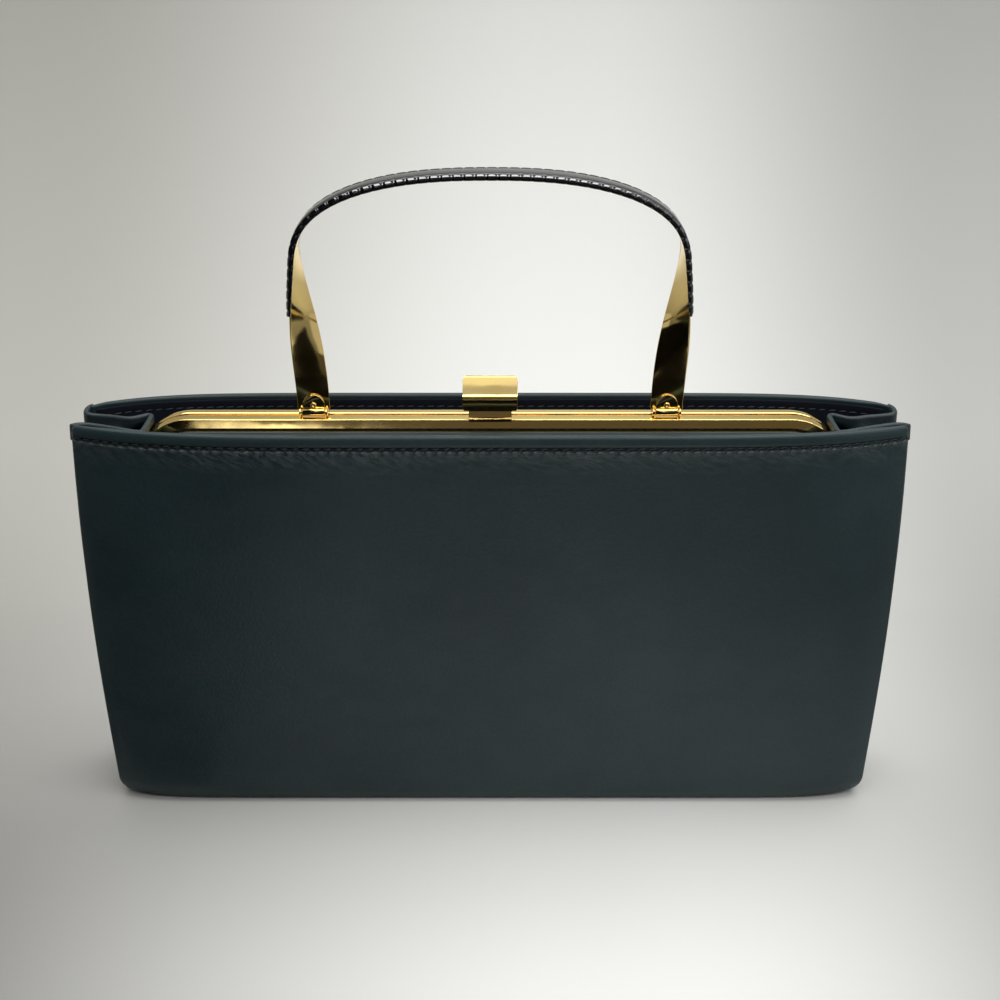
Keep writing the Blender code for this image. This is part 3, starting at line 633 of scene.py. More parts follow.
def along_x(first: float, second: float, depth: float) -> Vector:
    """Place an outline of (y, z) points at a depth along X."""
    return Vector((depth, first, second))


def along_y(first: float, second: float, depth: float) -> Vector:
    """Place an outline of (x, z) points at a depth along Y."""
    return Vector((first, depth, second))


def join(name: str, items: Sequence[Piece]) -> Piece:
    """Join several meshes into one object of that name."""
    whole = bmesh.new()
    for item in items:
        whole.from_mesh(item.data)
        bpy.data.objects.remove(item, do_unlink=True)
    mesh = bpy.data.meshes.new(name)
    whole.to_mesh(mesh)
    whole.free()
    return new_object(name, mesh)


def settle(item: Piece) -> Piece:
    """Turn an object's modifiers into plain mesh."""
    view = bpy.context.evaluated_depsgraph_get()
    mesh = bpy.data.meshes.new_from_object(item.evaluated_get(view))
    item.modifiers.clear()
    item.data = mesh
    return item


def round_edges(item: Piece, width: float, segments: int = 3, angle: float = 35.0) -> Piece:
    """Round every edge sharper than an angle."""
    bevel = item.modifiers.new("Bevel", "BEVEL")
    bevel.width = width
    bevel.segments = segments
    bevel.limit_method = "ANGLE"
    bevel.angle_limit = math.radians(angle)
    bevel.harden_normals = True
    return settle(item)


def crease(item: Piece, angle: float) -> Piece:
    """Shade every edge sharper than an angle as sharp."""
    item.data.set_sharp_from_angle(angle=math.radians(angle))
    return item


def dress(item: Piece, finish: Finish, replaces: Iterable[str] = (),
          body: Body | None = None) -> None:
    """Give a piece its finish, the solids it stands for and its body.

    Args:
        item: The piece.
        finish: Its finish.
        replaces: Names of the solids it stands for.
        body: Body it rides on, or None when it is blended across two.
    """
    item.data.materials.clear()
    item.data.materials.append(finish.material())
    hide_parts(*replaces)
    if body is not None:
        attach(item, body.value)
    LOG.info("%s: %d faces", item.name, len(item.data.polygons))


# Shape of the bag body


@dataclass(frozen=True)
class BagShape:
    """Outer shape of the bag body, the same as its solids."""

    height: float = 138.0 * MM
    top_width: float = 270.0 * MM
    base_width: float = 263.0 * MM
    side_bulge: float = 1.8 * MM
    top_depth: float = 42.6 * MM
    base_depth: float = 42.0 * MM
    front_top_sweep: float = 10.7 * MM
    rear_top_sweep: float = 12.5 * MM
    base_sweep: float = 5.0 * MM
    front_power: float = 5.5
    rear_power: float = 7.0
    base_power: float = 14.0
    tray_height: float = 8.0 * MM
    tray_edge: float = 4.0 * MM
    tray_end: float = 7.0 * MM
    leather: float = 1.2 * MM
    stack: float = 2.6 * MM
    hem: float = 6.0 * MM
    frame_half: float = 118.0 * MM
    frame_corner: float = 20.0 * MM
    handle_span: float = 115.2 * MM
    curl_start: float = 118.0 * MM
    curl_length: float = 14.0 * MM

    def curl(self, z: float) -> float:
        """Return how far the gussets curl round the rear panel at a height, as a share."""
        return ramp(z, self.curl_start, self.curl_length)

    def height_share(self, z: float) -> float:
        """Return the height on the panels as a share, 0 at the tray's rim and 1 at the top."""
        return max(z - self.tray_height, 0.0) / (self.height - self.tray_height)

    def half_width(self, z: float) -> float:
        """Return half the bag's width at a height, drawn in along the rounded lower edge."""
        share = self.height_share(z)
        wide = mix(self.base_width, self.top_width, share) / 2
        bulge = self.side_bulge * math.sin(math.pi * share)
        return wide + bulge - self.tray_end * self.lower_round(z)

    def lower_round(self, z: float) -> float:
        """Return how far the lower edge is drawn in at a height, as a share."""
        drop = 1.0 - min(max(z, 0.0) / self.tray_height, 1.0)
        return 1.0 - math.sqrt(max(1.0 - drop * drop, 0.0))

    def depth(self, side: Side, across: float, z: float) -> float:
        """Return an outer panel's distance from the middle plane."""
        share = self.height_share(z)
        front = side is Side.FRONT
        sweep = mix(self.base_sweep, self.front_top_sweep if front else self.rear_top_sweep, share)
        power = mix(self.base_power, self.front_power if front else self.rear_power, share)
        return mix(self.base_depth, self.top_depth, share) / 2 - sweep * abs(across) ** power

    def point(self, side: Side, across: float, z: float, inset: float) -> Vector:
        """Return a point a set distance inside an outer panel's face."""
        y = side.value * (self.depth(side, across, z) - inset)
        return Vector((across * self.half_width(z), y, z))


SHAPE = BagShape()


# Stitches


@dataclass(frozen=True)
class StitchRun:
    """A row of even stitches laid along a line by Geometry Nodes."""

    pitch: float = 3.4 * MM
    length: float = 2.7 * MM
    thickness: float = 0.50 * MM
    slant: float = 7.0
    seed: int = 11
    smallest: float = 0.9
    largest: float = 1.08

    def tree(self) -> bpy.types.NodeTree:
        """Return the node tree that turns a line into thread stitches, made on first use."""
        tree = bpy.data.node_groups.get("stitch_run")
        if tree:
            return tree
        tree = bpy.data.node_groups.new("stitch_run", "GeometryNodeTree")
        face = tree.interface
        face.new_socket("Geometry", in_out="INPUT", socket_type="NodeSocketGeometry")
        for name in ("Pitch", "Length", "Thickness", "Slant"):
            face.new_socket(name, in_out="INPUT", socket_type="NodeSocketFloat")
        face.new_socket("Thread", in_out="INPUT", socket_type="NodeSocketMaterial")
        face.new_socket("Geometry", in_out="OUTPUT", socket_type="NodeSocketGeometry")

        def first(kind: str, values: dict | None = None, **settings: object) -> Socket:
            """Add a node and return its first output."""
            return add_node(tree, kind, values, **settings).outputs[0]

        given = add_node(tree, "NodeGroupInput").outputs
        line = first("GeometryNodeMeshToCurve", {"Mesh": given["Geometry"]})
        spots = first("GeometryNodeResampleCurve", {"Curve": line, "Length": given["Pitch"]},
                      mode="LENGTH")
        bead = first("GeometryNodeMeshUVSphere", {"Segments": 8, "Rings": 6, "Radius": 0.5})
        size = first("ShaderNodeCombineXYZ", {"X": given["Length"], "Y": given["Thickness"],
                                              "Z": given["Thickness"]})
        strand = first("GeometryNodeTransform", {"Geometry": bead, "Scale": size})
        outward = add_node(tree, "GeometryNodeInputNamedAttribute", {"Name": "outward"},
                           data_type="FLOAT_VECTOR").outputs["Attribute"]
        along = first("GeometryNodeInputTangent")
        lie = first("FunctionNodeAlignRotationToVector", {"Vector": along}, axis="X")
        stand = first("FunctionNodeAlignRotationToVector", {"Rotation": lie, "Vector": outward},
                      axis="Z", pivot_axis="X")
        tilt = first("FunctionNodeAxisAngleToRotation", {"Axis": (0.0, 0.0, 1.0),
                                                         "Angle": given["Slant"]})
        turned = first("FunctionNodeRotateRotation", {"Rotation": stand, "Rotate By": tilt},
                       rotation_space="LOCAL")
        vary = add_node(tree, "FunctionNodeRandomValue", {
            "Seed": self.seed, 2: self.smallest, 3: self.largest}, data_type="FLOAT").outputs[1]
        laid = first("GeometryNodeInstanceOnPoints", {"Points": spots, "Instance": strand,
                                                      "Rotation": turned, "Scale": vary})
        real = first("GeometryNodeRealizeInstances", {0: laid})
        dressed = first("GeometryNodeSetMaterial", {"Geometry": real, "Material": given["Thread"]})
        add_node(tree, "NodeGroupOutput", {0: dressed})
        return tree

    def sew(self, name: str, lines: Sequence[tuple[Row, Row]], thread: Finish, slot: str,
            body: Body) -> None:
        """Sew stitches along lines into one piece.

        Args:
            name: Name of the piece.
            lines: Pairs of a line's points and its outward directions.
            thread: Finish of the thread.
            slot: Name of a material slot; not used.
            body: Body that the stitches ride on.
        """
        points = [tuple(spot) for line, _ in lines for spot in line]
        edges = []
        start = 0
        for line, _ in lines:
            edges += [(start + step, start + step + 1) for step in range(len(line) - 1)]
            start += len(line)
        mesh = bpy.data.meshes.new(name)
        mesh.from_pydata(points, edges, [])
        outward = mesh.attributes.new("outward", "FLOAT_VECTOR", "POINT")
        flat = [value for _, ways in lines for way in ways for value in way]
        outward.data.foreach_set("vector", flat)
        item = new_object(name, mesh)
        tree = self.tree()
        modifier = item.modifiers.new("Stitches", "NODES")
        modifier.node_group = tree
        sizes = {"Pitch": self.pitch, "Length": self.length, "Thickness": self.thickness,
                 "Slant": math.radians(self.slant), "Thread": thread.material()}
        for socket in tree.interface.items_tree:
            if socket.in_out == "INPUT" and socket.name in sizes:
                modifier[socket.identifier] = sizes[socket.name]
        settle(item)
        item.data.shade_smooth()
        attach(item, body.value)
        LOG.info("%s: %d faces", name, len(item.data.polygons))


# Outer panels, pocket linings and walls


@dataclass
class OuterPanel:
    """One outer leather panel with its turned top edge, its stitches and its pocket lining."""

    side: Side
    seed: float
    column_pitch: float = 0.68 * MM
    stitch_drop: float = 4.1 * MM
    groove: Pair = (0.62 * MM, 0.50 * MM)
    edge_roll: float = 0.28 * MM
    scallop: float = 0.34 * MM
    pucker: float = 0.12 * MM
    pillow: float = 0.26 * MM
    wrinkle: float = 0.24 * MM
    wave: float = 0.55 * MM
    ripple: float = 0.16 * MM
    end_stack: float = 1.7 * MM
    end_edge: float = 1.75 * MM
    corner: float = 2.1 * MM
    draw_in: float = 1.9 * MM
    top_radius: float = 0.85 * MM
    end_radius: float = 1.3 * MM
    lining_drop: float = 1.5 * MM
    lining_faces: Pair = (0.22 * MM, 0.50 * MM)
    outer_thread: float = 0.22 * MM
    inner_thread: float = 0.42 * MM
    stitches: StitchRun = field(default_factory=StitchRun)

    @property
    def seam_height(self) -> float:
        """Return the height of the stitch line."""
        return SHAPE.height - self.stitch_drop

    def rough(self, x: float, y: float, shift: float = 0.0) -> float:
        """Return an uneven value of this panel's own between about -1 and 1."""
        return noise.noise(Vector((x, y, self.seed + shift)))

    def shares(self) -> list[float]:
        """Return the panel's columns as shares across, closer together at both ends."""
        half = SHAPE.top_width / 2
        inner = 1.0 - self.end_edge / half
        right = [1.0 - step * MM / half for step in (0.0, 0.10, 0.25, 0.45, 0.70, 1.0, 1.35)]
        middle = spread(-inner, inner, int(2 * half / self.column_pitch))
        return [-share for share in right] + middle + right[::-1]

    def relief(self, x: float, z: float) -> float:
        """Return how far the leather stands out from the plain panel."""
        below = self.seam_height - z
        groove = -self.groove[0] * bell(below, self.groove[1])
        if below < 0.0:
            return groove + self.edge_roll * math.sin(math.pi * min(-below / (3.6 * MM), 1.0))
        turn = math.cos(math.tau * x / self.stitches.pitch)
        uneven = 0.75 + 0.8 * noise.noise(Vector((x * 60.0, self.seed, 0.0)))
        scallop = self.scallop * (0.5 + 0.5 * turn) * bell(below - 1.15 * MM, 0.8 * MM)
        drawn = (self.pucker * turn * math.exp(-below / (3.0 * MM)) + scallop) * uneven
        pillow = self.pillow * bell(below - 1.9 * MM, 1.6 * MM)
        wrinkle = self.wrinkle * self.rough(x * 150.0 + z * 110.0, z * 420.0 - x * 90.0)
        wrinkle *= math.exp(-below / (7.0 * MM)) * smooth_step(below / MM)
        broad = self.wave * self.rough(x * 11.0 + z * 5.0, z * 17.0, 3.0)
        small = self.ripple * self.rough(x * 34.0, z * 42.0 + x * 11.0, 7.0)
        slack = ramp(below, 0.0, 14.0 * MM) * ramp(z, 0.0, 18.0 * MM)
        return groove + drawn + pillow + wrinkle + (broad + small) * slack

    def slimming(self, share: float) -> float:
        """Return how much thinner the turned edge is near the side seams."""
        return (SHAPE.stack - self.end_stack) * ramp(abs(share), 0.90, 0.09)

    def settle_end(self, spot: Vector, share: float, edge: float, z: float) -> None:
        """Lower the front panel's rounded top corner, or draw in the rear panel's end.

        Args:
            spot: The point to move.
            share: Its share across the panel.
            edge: Its distance from the panel's end.
            z: Its height.
        """
        if self.side is Side.FRONT:
            reach = 3.0 * self.corner
            spot.z -= bite(self.corner, edge) * ramp(z, SHAPE.height - reach, reach)
        else:
            near_end = 1.0 - ramp(edge, 0.0, 7.0 * MM)
            spot.x -= math.copysign(self.draw_in * near_end * SHAPE.curl(z), share)

    def sections(self) -> list[tuple[float, float, float, float, float]]:
        """Return rows as (outer z, outer inset, inner z, inner inset, thickness)."""
        shape = SHAPE
        skin = shape.leather
        rows = []
        for drop, pull in rounding(90.0, 0.0, 11):
            rows.append((shape.tray_height * (1.0 - drop), shape.tray_edge * pull,
                         skin + (shape.tray_height - skin) * (1.0 - drop),
                         skin + (shape.tray_edge - skin) * pull, skin))
        hem_low = shape.height - shape.hem
        fine_low = shape.height - 24.0 * MM
        radius = self.top_radius
        rim = shape.height - radius
        plain = spread(shape.tray_height, fine_low, 30)[1:] + spread(fine_low, hem_low, 24)[1:]
        rows += [(z, 0.0, z, skin, skin) for z in plain]
        rows += [(z, 0.0, z, shape.stack, shape.stack)
                 for z in spread(hem_low + 0.2 * MM, rim, 16)]
        for rise, pull in rounding(10.0, 84.0, 8):
            z = rim + radius * rise
            rows.append((z, radius * pull, z, shape.stack - radius * pull, shape.stack))
        return rows

    def build(self) -> Piece:
        """Return the leather panel as one closed sheet with rounded edges."""
        outer: list[Row] = []
        inner: list[Row] = []
        for high, inset, low, back, thick in self.sections():
            outer.append([])
            inner.append([])
            half = SHAPE.half_width(high)
            for share in self.shares():
                edge = (1.0 - abs(share)) * half
                slim = self.slimming(share) if thick > SHAPE.leather else 0.0
                round_off = bite(min((thick - slim) / 2, self.end_radius), edge)
                lift = 0.0
                if high >= SHAPE.tray_height:
                    lift = self.relief(share * half, high) * ramp(edge, 0.0, 3.0 * MM)
                spot = SHAPE.point(self.side, share, high, inset + round_off - lift)
                inner_spot = SHAPE.point(self.side, share, low, back - slim - round_off)
                inner_spot.x = spot.x
                self.settle_end(spot, share, edge, high)
                self.settle_end(inner_spot, share, edge, low)
                outer[-1].append(spot)
                inner[-1].append(inner_spot)
        return sheet_solid(self.side.prefix + "_leather", outer, inner)

    def seam_line(self, inset: float, outwards: bool) -> tuple[Row, Row]:
        """Return the stitch line on the outer or inner face with its outward directions."""
        reach = 0.985 if outwards else 0.95
        shares = spread(-reach, reach, 240)
        line = [SHAPE.point(self.side, share, self.seam_height, inset) for share in shares]
        way = Vector((0.0, self.side.value * (1.0 if outwards else -1.0), 0.0))
        return line, [way] * len(line)

    def lining_rows(self, inset: float) -> list[Row]:
        """Return one face of the pocket lining as rows of points."""
        low = SHAPE.tray_height + 0.5 * MM
        high = SHAPE.height - self.lining_drop
        rows = []
        for z in spread(low, high - 8.0 * MM, 32) + spread(high - 7.5 * MM, high, 16):
            dent = 0.16 * MM * bell(z - self.seam_height, 0.6 * MM)
            calm = smooth_step((self.seam_height - 1.0 * MM - z) / (6.0 * MM))
            row = []
            for share in spread(-0.972, 0.972, 160):
                x = share * SHAPE.half_width(z)
                sag = 0.12 * MM * (self.rough(x * 30.0, z * 38.0, 20.0) + 1.0) * calm
                row.append(SHAPE.point(self.side, share, z, inset + sag - dent))
            rows.append(row)
        return rows

    def make(self) -> None:
        """Build, dress and mount the panel, its lining and its stitches."""
        prefix = self.side.prefix
        body = self.side.walls
        leather = self.build()
        dress(leather, TEAL_SEAM, [prefix + "_panel"])
        if self.side is Side.FRONT:
            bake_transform(leather)
        else:
            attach(leather, body.value)
        lines = [self.seam_line(self.outer_thread, True),
                 self.seam_line(SHAPE.stack + self.inner_thread, False)]
        self.stitches.sew(prefix + "_seam_stitches", lines, DARK_THREAD, "outer_leather", body)
        near, far = (self.lining_rows(SHAPE.stack + face) for face in self.lining_faces)
        cloth = sheet_solid(prefix + "_pocket_cloth", near, far)
        dress(cloth, NAVY, [prefix + "_pocket_lining"], body)


@dataclass
class PouchSide:
    """Leather wall and lining of the centre pouch on one side, hung in the frame."""

    side: Side
    low: float = 3.0 * MM
    wall_inner: float = 5.0 * MM
    wall_drop: float = 4.3 * MM
    lining_face: float = 4.7 * MM
    lining: float = 0.3 * MM
    front_lining_drop: float = 9.3 * MM
    rear_lining_drop: float = 7.3 * MM
    ripple: float = 0.12 * MM

    def sheet(self, name: str, inward: float, near: float, far: float) -> tuple[Piece, list[Row]]:
        """Build a sheet whose top edge runs a set distance inside the frame's contour.

        Args:
            name: Name of the piece.
            inward: Distance inside the frame's contour.
            near: Distance of the near face from the middle plane.
            far: Distance of the far face.

        Returns:
            The object and the rows of its near face.
        """
        straight = SHAPE.frame_half - SHAPE.frame_corner
        top = [(x, SHAPE.height - inward) for x in spread(0.0, straight, 60)[:-1]]
        top += arc(SHAPE.frame_corner - inward, 90.0, 0.0, 12, straight,
                   SHAPE.height - SHAPE.frame_corner)
        top = [(-x, z) for x, z in reversed(top[1:])] + top
        sign = self.side.value
        grids = []
        for depth in (near, far):
            rows = []
            for share in spread(0.0, 1.0, 26):
                row = []
                for x, z_top in top:
                    z = mix(self.low, z_top, share)
                    wave = noise.noise(Vector((x * 26.0, z * 30.0, sign)))
                    wave *= self.ripple * ramp(z_top - z, 0.0, 10.0 * MM)
                    row.append(Vector((x, sign * (depth + wave), z)))
                rows.append(row)
            grids.append(rows)
        return sheet_solid(name, *grids), grids[0]

    def make(self) -> None:
        """Build, dress and mount the wall and the lining."""
        prefix = self.side.prefix
        wall, _ = self.sheet(prefix + "_pouch_wall", self.wall_drop, self.wall_inner,
                             self.wall_inner + SHAPE.leather)
        dress(wall, TEAL_EDGE, [prefix + "_inner_wall"], self.side.walls)
        drop = self.front_lining_drop if self.side is Side.FRONT else self.rear_lining_drop
        cloth, rows = self.sheet(prefix + "_pouch_cloth", drop, self.lining_face,
                                 self.lining_face - self.lining)
        dress(cloth, NAVY, ["pouch_lining_" + prefix], self.side.walls)


# Side gussets and the tray


@dataclass
class SideGusset:
    """Folded side gusset with a turned top edge, sewn to both outer panels."""

    end: End
    clear: float = 0.6 * MM
    valley_top: float = 111.2 * MM
    seam_drop: float = 0.3 * MM
    fold_drop: float = 1.7 * MM
    rim: float = 1.9 * MM
    hem: float = 6.0 * MM
    seam_share: float = 0.996
    seam_inset: float = 1.85 * MM
    fold_front: float = -11.0 * MM
    fold_rear: float = 5.8 * MM
    foot_low: float = 3.0 * MM
    foot_faces: Pair = (0.1 * MM, 0.9 * MM)
    foot_reach: float = 127.4 * MM

    @property
    def suffix(self) -> str:
        """Return the end of the names of this end's pieces."""
        return self.end.name.lower()

    def plan(self, z: float) -> Row:
        """Return the strip's pocket-side line in plan at a height, front seam to rear seam.

        Low down the strip is folded straight; on top both layers bow inwards and the rear end
        curls round the rear panel.
        """
        valley = self.valley(z)
        seam = self.seam_share * SHAPE.half_width(z)
        front = self.seam_inset - SHAPE.depth(Side.FRONT, self.seam_share, z)
        rear = SHAPE.depth(Side.REAR, self.seam_share, z) - self.seam_inset
        bow = ramp(z, 40.0 * MM, 85.0 * MM)

        def near(x: float, y: float, *steps: Pair) -> Line:
            """Return points by their steps from a place, in millimetres."""
            return [(x + right * MM, y + back * MM) for right, back in steps]

        def between(start: float, stop: float, *shares: Pair) -> Line:
            """Return points by shares of the way in from the seam and from start to stop."""
            return [(seam - inward * (seam - valley), mix(start, stop, share))
                    for inward, share in shares]

        straight = [
            *near(seam, front, (0.0, 0.0), (-1.5, -0.1)),
            *between(front, self.fold_front, (0.25, 0.2), (0.55, 0.6)),
            *near(valley, 0.0, (3.0, -11.2), (0.5, -10.6), (0.0, -8.0), (0.0, 2.6), (0.4, 4.9),
                  (2.6, 5.8)),
            *between(self.fold_rear, rear, (0.80, 0.25), (0.66, 0.4), (0.42, 0.7)),
            *near(seam, rear, (-3.6, -0.9), (-1.4, -0.4), (-0.8, -0.2), (-0.3, 0.0), (0.0, 0.2))]
        bowed = [
            (seam, front), *near(seam, 0.0, (-1.1, -7.3), (-4.0, -6.7)),
            *between(0.0, MM, (0.55, -9.1)),
            *near(valley, 0.0, (3.2, -11.6), (0.6, -11.2), (0.0, -8.6), (0.0, 2.6), (0.3, 5.4),
                  (2.6, 6.6)),
            *between(0.0, MM, (0.80, 4.9), (0.66, 2.4), (0.42, 4.7))]
        curled = near(seam, 0.0, (-4.2, 5.4), (-1.4, 5.6), (-0.9, 7.3), (-1.1, 9.0), (-2.0, 9.8))
        shares = [bow] * len(bowed) + [SHAPE.curl(z)] * len(curled)
        corners = [(mix(a[0], b[0], part), mix(a[1], b[1], part))
                   for a, b, part in zip(straight, bowed + curled, shares)]
        return [Vector((self.end.value * x, y, z)) for x, y in self.soften(corners)]

    def valley(self, z: float) -> float:
        """Return how far out the fold lies at a height; on top it leans over the frame's corner."""
        corner = SHAPE.frame_corner
        low = z - self.sink(0.5, z)
        rise = min(max(low - (SHAPE.height - corner), 0.0), corner)
        reach = math.sqrt((corner + self.clear) ** 2 - rise ** 2)
        return max(SHAPE.frame_half - corner + reach, self.valley_top)

    def sink(self, share: float, z: float) -> float:
        """Return how far a point lies under the panels' top edge, by its share along the strip."""
        inner = smooth_step(min(share, 1.0 - share) / 0.30)
        drop = mix(self.seam_drop, self.fold_drop, inner)
        return drop * smooth_step((z - SHAPE.height + 7.0 * MM) / (6.0 * MM))

    def soften(self, corners: Line) -> Line:
        """Round the corners of an open line by three rounds of corner cutting."""
        for _ in range(3):
            cut = [corners[0]]
            for (x, y), (next_x, next_y) in zip(corners, corners[1:]):
                cut += [(mix(x, next_x, part), mix(y, next_y, part)) for part in (0.25, 0.75)]
            corners = cut + [corners[-1]]
        return corners

    def outwards(self, line: Row) -> Row:
        """Return the direction from the strip into the pouch at each point of its line."""
        return [Vector((way.y, -way.x, 0.0)) * self.end.value for way in tangents(line)]

    def levels(self) -> list[tuple[float, float, float]]:
        """Return rows as (height, outer face, inner face), with a rounded top edge."""
        top = SHAPE.height
        edge = self.rim / 2
        rows = [(z, SHAPE.leather, 0.0)
                for z in spread(SHAPE.tray_height + 0.4 * MM, top - self.hem, 22)]
        rows += [(z, self.rim, 0.0) for z in spread(top - self.hem + 0.3 * MM, top - edge, 9)]
        return rows + [(top - edge * (1.0 - rise), self.rim - edge * pull, edge * pull)
                       for rise, pull in rounding(12.0, 84.0, 6)]

    def build(self) -> Piece:
        """Return the gusset as one closed folded sheet."""
        near = []
        far = []
        for z, outer, inner in self.levels():
            line = self.plan(z)
            last = len(line) - 1
            calm = ramp(SHAPE.height - z, 0.0, 16.0 * MM)
            spots = []
            for index, (spot, out) in enumerate(zip(line, self.outwards(line))):
                sag = 0.35 * MM * noise.noise(Vector((spot.y * 60.0, z * 22.0, self.end.value)))
                sag *= calm * smooth_step(index / 3) * smooth_step((last - index) / 3)
                spot = Vector((spot.x, spot.y, z - self.sink(index / last, z)))
                spots.append((spot, out, max(sag, 0.0)))
            near.append([spot + out * (outer + sag) for spot, out, sag in spots])
            far.append([spot + out * (inner + sag) for spot, out, sag in spots])
        return sheet_solid("gusset_" + self.suffix, near, far)

    def build_foot(self) -> Piece:
        """Return the strip behind the fold's lower edge that closes it down to the tray."""
        line = [spot for spot in self.plan(SHAPE.tray_height + 2.0 * MM)
                if abs(spot.x) < self.foot_reach]
        ways = self.outwards(line)
        near, far = ([[Vector((spot.x, spot.y, z)) - out * face for spot, out in zip(line, ways)]
                      for z in spread(self.foot_low, SHAPE.tray_height + 2.5 * MM, 4)]
                     for face in self.foot_faces)
        return sheet_solid("gusset_foot_" + self.suffix, near, far)

    def make(self) -> None:
        """Build and dress the gusset and the strip at its foot, and bake their transforms."""
        gusset = self.build()
        dress(gusset, TEAL_EDGE, ["side_gusset_" + self.suffix])
        foot = self.build_foot()
        dress(foot, TEAL_EDGE)
        for item in (gusset, foot):
            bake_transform(item)


@dataclass
class BaseTray:
    """Leather tray inside the panels' lower edge and the sole under the bag."""

    wall: float = 1.4 * MM
    skin: float = 1.35 * MM
    lift: float = 1.3 * MM
    floor: float = 2.7 * MM
    sole: float = 1.2 * MM
    sole_inset: float = 0.5 * MM
    end_floor: Pair = (2.95 * MM, 3.75 * MM)
    end_start: float = 116.6 * MM

    def ring(self, z: float, inset: float, level: float) -> Row:
        """Return a closed outline of the tray at a height, placed at another level."""
        shares = [math.sin(math.pi * (step / 48 - 0.5)) for step in range(49)]
        half = SHAPE.half_width(z) - max(inset - self.skin, 0.0)
        pull = SHAPE.tray_edge * SHAPE.lower_round(z) + inset
        points = []
        for side in (Side.FRONT, Side.REAR):
            for share in shares if side is Side.FRONT else reversed(shares):
                y = side.value * (SHAPE.depth(side, share, SHAPE.tray_height) - pull)
                points.append(Vector((share * half, y, level)))
        return points

    def slab(self, name: str, outline: Row, levels: Pair) -> Piece:
        """Return a flat slab between two levels."""
        return ring_solid(name, [[Vector((p.x, p.y, z)) for p in outline] for z in levels])

    def make(self) -> None:
        """Build, dress and mount the tray, its sole and the floors inside its ends."""
        top = SHAPE.tray_height
        rings = [self.ring(top * (1.0 - drop), self.skin, mix(self.lift, top, 1.0 - drop))
                 for drop, _ in rounding(90.0, 0.0, 9)]
        rings += [self.ring(top, self.skin + self.wall, level) for level in (top, self.floor)]
        tray = ring_solid("tray", rings)
        sole = self.slab("sole", self.ring(0.0, self.sole_inset, 0.0), (0.0, self.sole))
        inner = self.ring(top, self.skin + self.wall + 0.1 * MM, 0.0)
        floors = [self.slab("fold_floor", [p for p in inner if p.x * end.value > self.end_start],
                            self.end_floor) for end in End]
        base = crease(join("base_leather", [tray, round_edges(sole, 0.3 * MM, 2)] + floors), 50.0)
        dress(base, TEAL, ["base_panel"], Body.BAG)


# Handle


